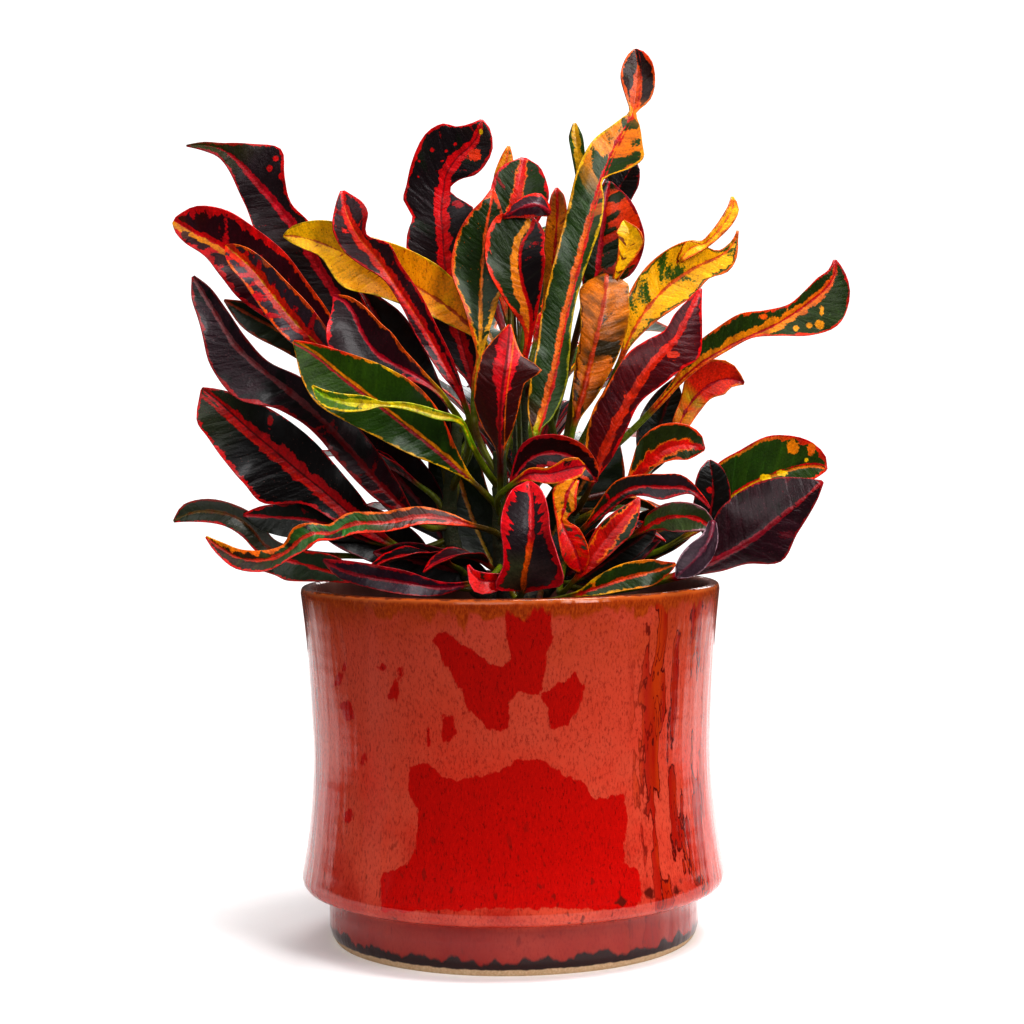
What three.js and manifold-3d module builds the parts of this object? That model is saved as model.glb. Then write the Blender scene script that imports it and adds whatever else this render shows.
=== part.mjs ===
// A croton with twisted, variegated leaves in a glazed ceramic planter.
// Millimetres, +Z up, the planter stands on z = 0 and the front of the plant faces -Y.
import * as THREE from 'three';
import { mergeVertices } from 'three/addons/utils/BufferGeometryUtils.js';
import Module from 'manifold-3d';

const wasm = await Module();
wasm.setup();

// Planter
const RIM_RADIUS = 75;
const RIM_HEIGHT = 126.5;
const WALL = 4.2;
const LIP_ROUND = 1.9;
const FOOT_RADIUS = 64.6;
const FLOOR_HEIGHT = 9;
const LATHE_SIDES = 36;
// Outside of the body from the foot to just under the lip: radius, height.
const BODY = [
    [FOOT_RADIUS, 0], [65.7, 2.2], [66.4, 5], [66.4, 17], [71, 17.5], [74.6, 19.2], [76, 22.4],
    [75.3, 27], [73.5, 39], [72, 55], [71.45, 72], [72.9, 103],
];
// Inside of the body from the floor to the lip.
const CAVITY = [
    [58, FLOOR_HEIGHT], [62, 13], [62.4, 19], [70.4, 23.5], [71.1, 28], [69.3, 39], [67.2, 72], [68.7, 103],
];

// Potting soil
const SOIL_GAP = 0.4;
const SOIL_HEIGHT = 113;
const SOIL_CROWN = 115;
const SOIL_EDGE_RADIUS = 68.6;
const HOLE_GAP = 0.6;
const HOLE_SIDES = 12;
const HOLE_LENGTH = 80;
const ROOT_END = 62;

// Stems: the centre line from the root end up, and the radius at both ends.
const STEM_SIDES = 7;
const FRONT_TRUNK = { line: [[0, -14, ROOT_END], [0, -14, 100], [0, -14, 122]], radii: [5.2, 4.6] };
const REAR_TRUNK = { line: [[3, 30, ROOT_END], [3, 30, 119], [4, 27, 150], [5, 19, 205]], radii: [4.6, 2.4] };
const BRANCHES = {
    centre: { line: [[0, -14, 116], [-2, -17, 130], [-3, -20, 150], [-3, -22, 174]], radii: [4, 2.2] },
    left: { line: [[0, -14, 120], [-12, -9, 126], [-21, -3, 144], [-18, -2, 184]], radii: [3.6, 2] },
    right: { line: [[0, -14, 120], [12, -11, 125], [22, -7, 142], [19, -7, 174]], radii: [3.6, 2] },
    rear: REAR_TRUNK,
};

// Leaf stalks
const STALK_RADIUS = 1.15;
const STALK_EDGE = 0.4;
const STALK_STEP_LENGTH = 24;
const STALK_LOWEST = 123;
const STALK_BELOW_TIP = 2;

// Leaf blades
const BLADE_THICKNESS = 0.8;
const BROAD = 11;
const STRIPS = { broad: 4, slim: 2 };
const STEP_LENGTH = 16;
const WAVE_LENGTH = 36;
const WAVE_SHARE = 0.1;
const WAVE_LAG = 1.9;
const RIB_RISE = 0.9;

// The leaves at the front were measured in elevation, on the upright plane through the middle of the planter,
// from this eye point. Each row of a leaf runs from its stalk to its tip and holds x, z, depth y, the half
// widths on the left and right of the midrib, and the turn of the blade about it in degrees. The numbers
// before the rows are 1 where the underside faces the front, and the fold of the blade in degrees.
const EYE = [1, -788, 183.4];
const FRONT_LEAVES = [
    ['edge_red_black', 'left', 0, 10, [
        [-36, 196, 6, 1.5, 1.5, 0],
        [-50, 213, 4, 7, 6, 0],
        [-62, 232, 2, 11, 8, 0],
        [-74, 252, 0, 13, 6, 0],
        [-80, 260.5, -1, 12, 4.5, 0],
        [-85.5, 267, -2, 9, 9, 0],
        [-90.5, 273, -3, 6.8, 14.5, 0],
        [-95.5, 278.5, -3, 4.5, 8, 0],
        [-101, 282.5, -4, 3, 2.5, 0],
        [-107, 284, -4, 2, 1.3, 0],
        [-113.5, 284, -4, 0.3, 0.3, 0],
    ]],
    ['broad_wine', 'left', 0, 14, [
        [-56, 205, -4, 1.5, 1.5, 0],
        [-68, 217, -6, 6, 8, 0],
        [-79, 228, -8, 9, 11, 0],
        [-88, 237, -10, 11, 13, 0],
        [-97, 245, -12, 9, 12.5, 0],
        [-105, 250, -13, 6, 12.5, 0],
        [-112, 253.5, -14, 5, 10.5, 0],
        [-116, 256, -14, 3.5, 7, 0],
        [-118.5, 257.5, -14, 1, 1.5, 0],
    ]],
    ['curled_wine', 'left', 0, 26, [
        [-56, 201, -12, 1.5, 1.5, 0],
        [-66, 211, -14, 5, 6, 0],
        [-76, 221, -17, 7, 9, 0],
        [-84, 231, -20, 6.5, 8, 0],
        [-90, 239, -22, 6, 6.5, 0],
        [-95, 244, -23, 5.5, 5, 0],
        [-98.5, 247, -22, 3, 2.5, 0],
        [-100, 248.5, -21, 0.5, 0.5, 0],
    ]],
    ['amber_left', 'left', 0, 12, [
        [-8, 212, -12, 1, 1, 0],
        [-18, 223, -12, 5, 7, 0],
        [-29, 231, -13, 7.5, 10.5, 0],
        [-42, 238.5, -14, 10, 10, 0],
        [-54, 243.5, -14, 11.5, 9, 0],
        [-64, 248, -14, 5, 9, 0],
        [-71, 250.5, -14, 4, 6.5, 0],
        [-76.5, 251.5, -14, 2.5, 3.5, 0],
        [-79.5, 251.5, -14, 0.4, 0.4, 0],
    ]],
    ['pinched_wine', 'left', 0, 16, [
        [-16, 192, -20, 1, 1, 0],
        [-22, 204, -21, 3, 3.5, 0],
        [-29, 217, -22, 4, 4.5, 0],
        [-36, 228, -22, 2.5, 6, 0],
        [-42, 237, -22, 2.5, 6, 0],
        [-47, 244, -22, 6, 7, 0],
        [-52, 250, -22, 7.5, 3, 0],
        [-55.5, 256, -22, 7, 7.5, 0],
        [-57.5, 262, -21, 3.5, 6.5, 0],
        [-58, 267.3, -20, 0.8, 0.8, 0],
    ]],
    ['folded_wine', 'left', 0, 24, [
        [-22, 192, -24, 1, 1, 0],
        [-31, 200, -26, 2, 3, 0],
        [-40, 205, -27, 7, 7, 0],
        [-47, 209.5, -28, 12, 10, 0],
        [-51.5, 216, -28, 14, 8.5, 0],
        [-54.5, 223, -28, 12, 5.5, 0],
        [-58, 228, -27, 7, 2.5, 0],
        [-62, 230, -26, 0.5, 0.5, 0],
    ]],
    ['great_green', 'centre', 0, 12, [
        [-14, 164, -30, 1, 1, 0],
        [-22, 171.5, -32, 4, 5, 0],
        [-31, 179, -35, 7.5, 11, 0],
        [-41, 187, -38, 10, 14, 0],
        [-51, 195, -41, 12.5, 12.5, 0],
        [-60, 202, -43, 13.5, 9, 0],
        [-67, 208, -44, 10.5, 5, 0],
        [-72, 211.5, -44, 6, 2.5, 0],
        [-76.5, 214, -44, 0.5, 0.5, 0],
    ]],
    ['slim_lime', 'centre', 0, 20, [
        [-13, 176, -36, 1, 1, 0],
        [-17, 184.5, -43, 1, 1, 0],
        [-26, 187, -47, 1.6, 2, 0],
        [-36, 190, -50, 1.2, 1.8, 0],
        [-45, 191, -53, 0.9, 1.2, 0],
        [-52, 191.5, -55, 3, 3, 0],
        [-60, 192.5, -57, 4, 2.8, 0],
        [-66, 194.5, -58, 3.3, 2.2, 0],
        [-70, 198, -58, 0.4, 0.4, 0],
    ]],
    ['long_plum', 'left', 0, 18, [
        [-34, 150, -14, 1.2, 1.2, 0],
        [-45, 161, -18, 5, 6, 0],
        [-56, 174, -22, 6, 8, 0],
        [-67, 186, -26, 5.5, 8, 0],
        [-78, 196, -29, 8, 7, 0],
        [-88, 204, -31, 14, 4, 0],
        [-97, 212.5, -32, 12, 5, 0],
        [-103.5, 223, -32, 7, 4.5, 0],
        [-108.5, 231.5, -31, 4.5, 3.5, 0],
        [-112, 237.5, -30, 0.6, 0.6, 0],
    ]],
    ['great_black', 'left', 0, 12, [
        [-44, 142, -6, 1.5, 1.5, 0],
        [-56, 151, -9, 5, 7, 0],
        [-68, 161.5, -12, 8, 10, 0],
        [-77, 169, -15, 17, 12, 0],
        [-85, 176, -18, 16, 12, 0],
        [-92, 182, -20, 14.5, 11, 0],
        [-99, 188.5, -21, 12.5, 8, 0],
        [-105, 194, -21, 10, 4, 0],
        [-109.5, 197.5, -20, 0.6, 0.6, 0],
    ]],
    ['olive_tip', 'left', 0, 22, [
        [-62, 137, 2, 1, 1, 0],
        [-76, 137, -2, 3, 3, 0],
        [-87, 140.5, -6, 4, 4, 0],
        [-93, 147.5, -9, 4.5, 5, 0],
        [-100, 152, -11, 4.5, 4.5, 0],
        [-108, 153.5, -12, 4.3, 4.8, 0],
        [-115.5, 152.5, -12, 3, 4, 0],
        [-120.5, 150, -12, 0.4, 0.4, 0],
    ]],
    ['low_dark_left', 'left', 0, 12, [
        [-50, 142, -2, 1, 1, 0],
        [-62, 147, -6, 5, 5, 0],
        [-73, 150, -9, 7, 6.5, 0],
        [-83, 151, -11, 6.5, 5, 0],
        [-90, 151.5, -12, 4.5, 3.5, 0],
        [-95.5, 152, -12, 0.5, 0.5, 0],
    ]],
    ['ruffled_ribbon', 'centre', 0, 14, [
        [-14, 147.5, -40, 1, 1, 20],
        [-22, 149.5, -43, 2.6, 2.6, 25],
        [-32, 150.5, -46, 3.7, 3.9, 30],
        [-44, 148.5, -49, 4, 4.2, 30],
        [-51, 148.5, -50, 4, 4.2, 20],
        [-57, 148, -51, 4, 4.5, 15],
        [-64, 144.8, -52, 3.7, 3.8, 35],
        [-70, 145, -53, 4, 4, 30],
        [-75, 143, -54, 4.5, 5, 0],
        [-80, 138.5, -54, 3, 3, 20],
        [-88, 135.7, -55, 4.3, 3.6, 10],
        [-97, 136.5, -55, 4, 3.3, 0],
        [-104, 140.5, -54, 2.5, 2, 0],
        [-109, 144.3, -53, 0.4, 0.4, 0],
    ]],
    ['rim_green_left', 'left', 0, 14, [
        [-50, 129, -20, 1, 1, 0],
        [-58, 130, -21, 3, 4, 0],
        [-66, 131.5, -22, 4, 6.5, 0],
        [-74, 134, -23, 6.5, 5, 0],
        [-81, 135.5, -23, 7, 2.5, 0],
        [-86, 134, -23, 4, 1.5, 0],
        [-89, 132, -22, 0.4, 0.4, 0],
    ]],
    ['rim_plum', 'centre', 0, 16, [
        [-16, 126, -38, 1, 1, 0],
        [-26, 125, -44, 3, 2.5, 0],
        [-38, 127, -48, 4.5, 4.5, 0],
        [-50, 129, -48, 4, 5, 0],
        [-60, 131.5, -44, 3, 4, 0],
        [-67, 135.5, -40, 0.5, 0.5, 0],
    ]],
    ['lobed_black', 'left', 0, 12, [
        [-12, 196, 6, 1.2, 1.2, 0],
        [-16, 212, 5, 7, 6, 0],
        [-20, 228, 4, 12, 8, 0],
        [-22, 242, 3, 13.5, 9, 0],
        [-22.5, 252, 2, 13, 10, 0],
        [-23, 258, 2, 10.5, 11, 0],
        [-22.7, 262, 2, 14, 11.5, 0],
        [-22, 267, 2, 13.5, 2.5, 0],
        [-21, 272.5, 1, 13, 5, 0],
        [-17.5, 278, 0, 14, 9, 0],
        [-13, 282, -1, 12.5, 9, 0],
        [-10, 285.5, -2, 8.5, 7, 0],
        [-8.5, 290, -3, 3, 3.5, 0],
        [-8, 292, -3, 0.6, 0.6, 0],
    ]],
    ['orange_edged', 'centre', 0, 12, [
        [-12, 197, -22, 0.9, 0.9, 0],
        [-10, 208, -22, 1.2, 1.2, 0],
        [-9.5, 216, -22, 3.5, 3, 0],
        [-9.3, 226, -21, 6.5, 6, 0],
        [-8.8, 237, -20, 11, 8, 0],
        [-7.8, 248, -20, 10.5, 8, 0],
        [-6.3, 257, -20, 7, 6, 0],
        [-5, 263, -20, 3, 3, 0],
        [-4.5, 267.5, -19, 0.5, 0.5, 0],
    ]],
    ['round_red', 'centre', 0, 14, [
        [1, 238, -9, 1, 1, 0],
        [0.5, 248, -9, 5, 6, 0],
        [2, 257, -9, 8, 10, 0],
        [4.5, 266, -9, 10, 11.5, 0],
        [6, 272.5, -8, 8.5, 8.5, 0],
        [6.5, 276, -7, 5, 5.5, 0],
        [6.8, 278.3, -7, 1, 1, 0],
    ]],
    ['small_orange_tip', 'rear', 0, 14, [
        [0, 250, -3, 1, 1, 0],
        [-1, 262, -3, 2, 2, 0],
        [-1.5, 270, -3, 2.8, 2.8, 0],
        [0.5, 277, -3, 2.6, 2.6, 0],
        [1.5, 282.5, -3, 0.5, 0.5, 0],
    ]],
    ['heart_green', 'centre', 0, 20, [
        [6, 206, -20, 1, 1, 0],
        [8, 216, -22, 2, 1.5, 0],
        [8, 224, -24, 6, 3.5, 0],
        [5.5, 233, -26, 9, 8, 0],
        [4.5, 241, -27, 12.5, 10, 0],
        [5.5, 248, -27, 13.5, 9, 0],
        [9, 253.5, -26, 12, 5.5, 0],
        [9.5, 257, -26, 0.8, 0.8, 0],
    ]],
    ['heart_flap', 'centre', 1, 14, [
        [15.5, 258.5, -26.5, 1.5, 1.5, 0],
        [12, 261.3, -29, 4.4, 4.4, 0],
        [7, 261, -30, 4.3, 3.6, 0],
        [2.5, 259, -30, 2.2, 1.8, 0],
        [-1, 257, -29, 0.5, 0.5, 0],
    ]],
    ['narrow_amber', 'right', 0, 14, [
        [14, 215, -4, 1, 1, 0],
        [16, 230, -4, 3, 3, 0],
        [17, 242, -4, 3.5, 3, 0],
        [18, 252, -4, 4, 4, 0],
        [18.5, 260, -4, 3.2, 3.4, 0],
        [18.5, 265, -4, 2.2, 2.4, 0],
        [18.3, 267.5, -4, 0.5, 0.5, 0],
    ]],
    ['tall_twisted', 'right', 0, 16, [
        [10, 180, -22, 1.5, 1.5, 0],
        [12, 187, -21, 5.5, 4.5, 0],
        [15, 197, -20, 7.5, 6, 0],
        [17.5, 208, -19, 7.5, 5, 0],
        [20, 220, -18, 8.3, 3.5, 0],
        [23, 232, -17, 8.5, 3.2, 0],
        [26.3, 244, -16, 8.5, 4, 0],
        [29.3, 255, -15, 8.5, 5, 0],
        [32, 264, -14, 9, 3.5, 0],
        [34.3, 270.5, -13, 9.5, 0.8, 0],
        [36.5, 276, -12, 9, 8, 0],
        [38.7, 281, -11, 8, 11.5, 0],
        [41.3, 286, -10, 5, 9, 0],
        [44.3, 291, -9, 2.5, 4.5, 0],
        [45.8, 294, -8, 1.3, 1.3, 0],
        [46.8, 299, -7, 4, 5.5, 0],
        [47.6, 305, -6, 6.4, 6.4, 0],
        [47.7, 311, -6, 5.6, 5.2, 0],
        [47, 314.8, -6, 2.8, 3, 0],
        [46.8, 316.3, -6, 0.6, 0.6, 0],
    ]],
    ['slim_tip', 'rear', 0, 18, [
        [27, 262, 4, 1.2, 1.2, 0],
        [27, 272, 4, 2, 2, 0],
        [26, 281, 4, 2.6, 2.4, 0],
        [25.3, 286, 4, 2.5, 2.4, 0],
        [25, 290.3, 4, 0.6, 0.6, 0],
    ]],
    ['rounded_flame', 'right', 0, 14, [
        [29, 222, -6, 1, 1, 0],
        [31, 232, -6, 4, 4, 0],
        [32.5, 238, -7, 6, 12, 0],
        [33.5, 245, -7, 7, 15.5, 0],
        [34.5, 252, -7, 7, 15.3, 0],
        [35.3, 259, -7, 6, 12, 0],
        [36.2, 265, -6, 4, 7.5, 0],
        [37.2, 269.5, -5, 1, 1, 0],
    ]],
    ['black_disc', 'rear', 0, 14, [
        [33, 245, 2, 1, 1, 0],
        [36, 256, 2, 5, 5, 0],
        [40, 266, 2, 6, 6, 0],
        [43, 271, 2, 5.5, 5.5, 0],
        [45.5, 275, 2, 3, 3, 0],
        [46.5, 277, 2, 0.5, 0.5, 0],
    ]],
    ['gold_curl', 'right', 0, 26, [
        [38.5, 234, -12, 0.8, 0.8, 0],
        [40.5, 239, -13, 1.5, 2.5, 0],
        [42.5, 244, -13, 3, 4.5, 0],
        [44, 249, -13, 4.5, 5.8, 0],
        [44, 252.5, -13, 5.5, 3, 0],
        [42.5, 254.8, -13, 2.5, 1, 0],
        [42, 255.6, -13, 0.5, 0.5, 0],
    ]],
    ['amber_back', 'right', 1, 14, [
        [24, 184, -18, 1.2, 1.2, 0],
        [27, 194, -18, 4, 5, 0],
        [29.5, 204, -17, 5.5, 8, 0],
        [32, 214, -17, 6, 10, 0],
        [34, 223, -16, 8, 10.5, 0],
        [35.3, 230, -15, 9.5, 9, 0],
        [35.8, 234.5, -13, 6.5, 8, 0],
        [36, 236.5, -11, 2, 3, 0],
    ]],
    ['gold_green', 'right', 0, 16, [
        [40.5, 206, -9, 0.8, 0.8, 0],
        [44, 214, -9, 3, 2.5, 0],
        [49, 222.5, -9, 8, 5.5, 0],
        [55.5, 230, -8, 10.5, 8, 0],
        [62.5, 235.5, -7, 11, 8.5, 0],
        [69.5, 239.5, -6, 9.5, 6, 0],
        [75.5, 242, -5, 3, 6.5, 0],
        [79.5, 244.8, -4, 1.5, 4, 0],
        [82, 248.5, -4, 0.8, 1, 0],
        [82.8, 251.5, -4, 0.4, 0.4, 0],
    ]],
    ['gold_fork', 'right', 0, 16, [
        [62, 241, -9, 1, 1, 0],
        [66, 245.5, -9, 3, 3, 0],
        [70.5, 246.8, -8, 1.5, 1.8, 0],
        [74.5, 250, -8, 1.8, 2, 0],
        [78.5, 255, -7, 2, 2.8, 0],
        [81, 259.5, -6, 1.8, 2.5, 0],
        [81, 263.5, -5, 0.5, 0.5, 0],
    ]],
    ['rose_rib', 'right', 1, 12, [
        [30, 163, -20, 1.2, 1.2, 0],
        [34, 173, -22, 7, 4, 0],
        [38.5, 183, -24, 9.5, 4.5, 0],
        [44, 192.5, -25, 9.5, 4, 0],
        [50, 202, -26, 9.5, 8, 0],
        [55.5, 208, -26, 7.5, 9, 0],
        [60.5, 213.5, -25, 5, 11, 0],
        [64, 220, -24, 4.5, 7, 0],
        [67, 226, -23, 2.5, 3.2, 0],
        [69.5, 231, -22, 0.5, 0.5, 0],
    ]],
    ['arching_right', 'right', 0, 12, [
        [52, 188, -2, 1.2, 1.2, 0],
        [62, 198.5, -3, 2.5, 1.2, 0],
        [70, 204.8, -4, 6.5, 1.2, 0],
        [78, 209.5, -4, 8, 1.2, 0],
        [87, 213.8, -5, 9, 0.8, 0],
        [95, 217.3, -5, 6.5, 4, 0],
        [103, 222, -5, 3.8, 10, 0],
        [110, 227, -5, 4.5, 13, 0],
        [115, 231.5, -5, 4.8, 9.5, 0],
        [117.5, 236.5, -5, 2.5, 3.8, 0],
        [117.5, 240.7, -5, 0.6, 0.6, 0],
    ]],
    ['red_hook', 'right', 0, 14, [
        [58, 176, 5, 1, 1, 0],
        [61.5, 183, 5, 3, 3.5, 0],
        [65, 189.5, 6, 4, 4.5, 0],
        [70, 195, 6, 8.5, 4.5, 0],
        [76, 198.3, 6, 8, 5.5, 0],
        [80.5, 198.5, 6, 5, 3, 0],
        [84.7, 197, 6, 0.5, 0.5, 0],
    ]],
    ['shade_right', 'right', 0, 14, [
        [48, 164, 12, 1.5, 1.5, 0],
        [52, 174, 14, 7, 7, 0],
        [55, 184, 15, 8, 8, 0],
        [58, 193, 15, 5, 5, 0],
        [60, 199, 14, 0.6, 0.6, 0],
    ]],
    ['red_spear', 'right', 0, 12, [
        [42, 160, -22, 1.5, 1.5, 0],
        [47, 166, -24, 4, 2.5, 0],
        [52, 171, -26, 8, 3.5, 0],
        [58, 174.5, -27, 9, 5, 0],
        [64, 175.5, -27, 7, 5.8, 0],
        [68, 174.5, -26, 4, 3.5, 0],
        [70.3, 173.5, -25, 0.6, 0.6, 0],
    ]],
    ['great_right', 'right', 0, 12, [
        [64, 143, -8, 1.2, 1.2, 0],
        [73, 151, -10, 7, 4, 0],
        [81, 157, -11, 13, 6, 0],
        [89, 161.5, -12, 13.5, 7, 0],
        [97, 164.5, -12, 14.5, 7, 0],
        [104, 166.5, -12, 12, 6.5, 0],
        [109, 167, -12, 8.5, 5, 0],
        [112.5, 166.5, -12, 4, 3, 0],
        [114, 165.5, -12, 0.5, 0.5, 0],
    ]],
    ['veined_plum', 'right', 1, 12, [
        [58, 127.5, -28, 1.5, 1.5, 0],
        [66, 130.5, -30, 3, 2.5, 0],
        [74, 134, -31, 8, 5, 0],
        [82, 138, -32, 15, 7, 0],
        [90, 143, -33, 16.5, 13, 0],
        [98, 149.5, -33, 15, 9, 0],
        [104.5, 154.5, -32, 11.5, 6, 0],
        [109, 158.5, -31, 6, 3.5, 0],
        [112.5, 161.5, -30, 0.6, 0.6, 0],
    ]],
    ['black_oval', 'right', 0, 14, [
        [70, 140, -14, 1.2, 1.2, 0],
        [71.5, 148, -16, 6.5, 6, 0],
        [73, 156, -17, 6.8, 6.7, 0],
        [73, 163, -18, 6.3, 5.5, 0],
        [72.3, 167.5, -18, 3.6, 3.6, 0],
        [72, 169.7, -18, 0.6, 0.6, 0],
    ]],
    ['scroll_inner', 'right', 0, 22, [
        [46, 144, -38, 1, 1, 0],
        [52, 147.5, -41, 4.2, 3, 0],
        [58, 149.5, -44, 5.5, 5.8, 0],
        [64, 149.5, -46, 5.5, 6, 0],
        [69, 148, -48, 4.5, 5, 0],
        [72.5, 145, -50, 2, 2, 0],
        [73.5, 143, -51, 0.5, 0.5, 0],
    ]],
    ['scroll_outer', 'right', 1, 14, [
        [73, 147.5, -50, 1.5, 1.5, 0],
        [72, 142, -53, 3.5, 3, 0],
        [69, 137, -55, 4.8, 4.8, 0],
        [65, 132.5, -56, 4.8, 4.8, 0],
        [61.5, 129.5, -56, 3, 3, 0],
        [59.7, 127.6, -56, 0.5, 0.5, 0],
    ]],
    ['red_green_right', 'right', 0, 14, [
        [28, 147, -32, 1, 1, 0],
        [34, 153, -34, 3, 2.5, 0],
        [41, 158.5, -36, 5, 2.5, 0],
        [48, 160.5, -37, 4.5, 3.5, 0],
        [55, 160, -38, 5, 4.5, 0],
        [61, 160, -38, 4.8, 3, 0],
        [66, 158.5, -38, 2.2, 1.2, 0],
        [70.5, 154.5, -37, 0.9, 0.8, 0],
        [72, 152.5, -37, 0.4, 0.4, 0],
    ]],
    ['red_heart_right', 'right', 0, 12, [
        [24, 128, -42, 1, 1, 0],
        [29, 135, -43, 3, 4, 0],
        [34.5, 142, -43, 5, 5.5, 0],
        [39.5, 147.5, -43, 4.5, 6, 0],
        [44, 152.5, -42, 2.5, 3.5, 0],
        [46.8, 156.5, -41, 0.5, 0.5, 0],
    ]],
    ['rim_green_right', 'right', 0, 14, [
        [24, 122, -47, 1, 1, 0],
        [32, 124.5, -49, 4, 3, 0],
        [41, 127.5, -49, 5.5, 4.5, 0],
        [50, 129.5, -47, 5, 5, 0],
        [56, 131, -44, 2.5, 2.5, 0],
        [59.5, 132.5, -42, 0.5, 0.5, 0],
    ]],
    ['low_black_right', 'right', 0, 14, [
        [26, 128, -26, 1, 1, 0],
        [34, 133, -28, 3.5, 4, 0],
        [42, 138.5, -30, 4, 5, 0],
        [49, 143.5, -30, 3.5, 3.5, 0],
        [53, 147.5, -30, 0.6, 0.6, 0],
    ]],
    ['front_spoon', 'centre', 0, 34, [
        [4.5, 124, -46, 2, 2, 0],
        [5, 128, -50, 12, 9, 0],
        [5.8, 132.5, -52, 10, 17, 0],
        [7, 138, -53, 11.5, 13, 0],
        [7.8, 144, -53, 13.5, 8.5, 0],
        [8, 150, -52, 13, 7.5, 0],
        [8, 156, -50, 10, 6, 0],
        [7.5, 160, -48, 6, 4, 0],
        [7.3, 162.8, -47, 0.8, 0.8, 0],
    ]],
    ['front_spoon_lobe', 'centre', 0, 20, [
        [0, 127.5, -49.6, 2, 2.5, 0],
        [-7, 127, -53, 4.5, 3.2, 0],
        [-11, 127.5, -54, 4.8, 3.5, 0],
        [-14, 130.5, -53, 1.5, 1.5, 0],
        [-15, 133, -52, 0.5, 0.5, 0],
    ]],
    ['red_collar', 'centre', 0, 20, [
        [3, 163, -40, 1, 1, 0],
        [8, 165.5, -42, 2.3, 3, 0],
        [15, 165.5, -43, 2.3, 4, 0],
        [21, 167, -44, 4.2, 4.5, 0],
        [25.5, 167.8, -44, 3.5, 3.5, 0],
        [27.5, 168, -44, 0.8, 0.8, 0],
    ]],
    ['hanging_twist', 'centre', 0, 16, [
        [24, 163.5, -45, 1.5, 1.5, 0],
        [21, 158.5, -46, 3.5, 5.5, 0],
        [20, 153.5, -46, 4.2, 4.5, 0],
        [18.7, 149, -46, 2, 2, 0],
        [20.5, 144, -46, 5, 3.5, 0],
        [23.5, 138, -46, 5, 5.5, 0],
        [25, 133, -45, 3.5, 4, 0],
        [25.8, 129.8, -44, 0.6, 0.6, 0],
    ]],
    ['plum_arch', 'centre', 0, 18, [
        [0, 158, -34, 1, 1, 0],
        [2.5, 165, -35, 2, 4, 0],
        [8.5, 171.3, -36, 6.5, 5, 0],
        [16, 173, -37, 7, 5, 0],
        [24, 170.8, -37, 6, 5, 0],
        [29, 166, -37, 4, 4, 0],
        [31.5, 162.3, -36, 0.6, 0.6, 0],
    ]],
    ['crimson_rib', 'centre', 1, 14, [
        [-3, 174, -32, 1.5, 1.5, 0],
        [-3, 182, -35, 6.5, 5, 0],
        [-2.5, 191, -37, 10, 7, 0],
        [-1.5, 199, -38, 10, 8, 0],
        [-0.5, 205, -38, 9.5, 13.5, 0],
        [0, 208.5, -37, 9, 6, 0],
        [0.5, 213, -36, 6, 3, 0],
        [1, 219, -35, 0.6, 0.6, 0],
    ]],
    ['crown_low_left', 'left', 0, 14, [
        [-26, 131, 4, 1, 1, 0],
        [-36, 138, 2, 8, 7, 0],
        [-49, 145, 0, 10, 9, 0],
        [-63, 150, -2, 8, 7, 0],
        [-74, 153, -3, 0.4, 0.4, 0],
    ]],
    ['crown_left', 'left', 0, 14, [
        [-24, 142, 7, 1, 1, 0],
        [-31, 154, 8, 9, 9, 0],
        [-42, 167, 9, 11, 11, 0],
        [-54, 179, 9, 8, 8, 0],
        [-63, 189, 9, 0.4, 0.4, 0],
    ]],
    ['crown_upper_left', 'left', 0, 14, [
        [-21, 170, 6, 1, 1, 0],
        [-28, 184, 8, 7, 8, 0],
        [-36, 202, 10, 9, 10, 0],
        [-45, 219, 12, 8, 9, 0],
        [-53, 234, 13, 0.4, 0.4, 0],
    ]],
    ['crown_far_left', 'left', 0, 12, [
        [-34, 185, 4, 1, 1, 0],
        [-54, 201, 4, 6, 6, 0],
        [-76, 215, 3, 6, 6, 0],
        [-91, 223, 2, 5.5, 5, 0],
        [-101, 229, 2, 0.4, 0.4, 0],
    ]],
    ['crown_mid_left', 'centre', 0, 14, [
        [-6, 133, 4, 1, 1, 0],
        [-11, 144, 6, 9, 8, 0],
        [-16, 158, 8, 11, 9, 0],
        [-20, 174, 10, 9, 8, 0],
        [-23, 190, 11, 0.4, 0.4, 0],
    ]],
    ['crown_mid_right', 'centre', 0, 14, [
        [8, 132, 3, 1, 1, 0],
        [15, 143, 4, 8, 9, 0],
        [23, 156, 6, 9, 13, 0],
        [31, 169, 8, 8, 12, 0],
        [38, 183, 9, 0.4, 0.4, 0],
    ]],
    ['crown_low_right', 'right', 0, 14, [
        [27, 131, 2, 1, 1, 0],
        [37, 137, 0, 7, 8, 0],
        [50, 143, -2, 9, 9, 0],
        [62, 148, -4, 7, 7, 0],
        [71, 152, -5, 0.4, 0.4, 0],
    ]],
    ['crown_foot_left', 'centre', 0, 14, [
        [-6, 127, -6, 1, 1, 0],
        [-15, 130, -8, 6, 6, 0],
        [-27, 133, -10, 7.5, 7, 0],
        [-39, 136, -12, 6, 6, 0],
        [-49, 138, -13, 0.4, 0.4, 0],
    ]],
    ['crown_foot_right', 'centre', 0, 14, [
        [9, 126, -7, 1, 1, 0],
        [21, 130, -9, 6, 6, 0],
        [33, 135, -11, 7, 7.5, 0],
        [45, 139, -13, 6, 6, 0],
        [55, 142, -14, 0.4, 0.4, 0],
    ]],
];

// Side lobes that grow from the blade beside them and have no stalk of their own.
const LOBES = new Set([
    'heart_flap', 'gold_fork', 'gold_curl', 'scroll_outer', 'front_spoon_lobe', 'hanging_twist',
]);

// Broad leaves deep in the crown, which lie nearly flat.
const CROWN_LEAVES = new Set([
    'crown_low_left', 'crown_left', 'crown_upper_left', 'crown_far_left', 'crown_mid_left', 'crown_mid_right',
    'crown_low_right', 'crown_foot_left', 'crown_foot_right',
]);

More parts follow.
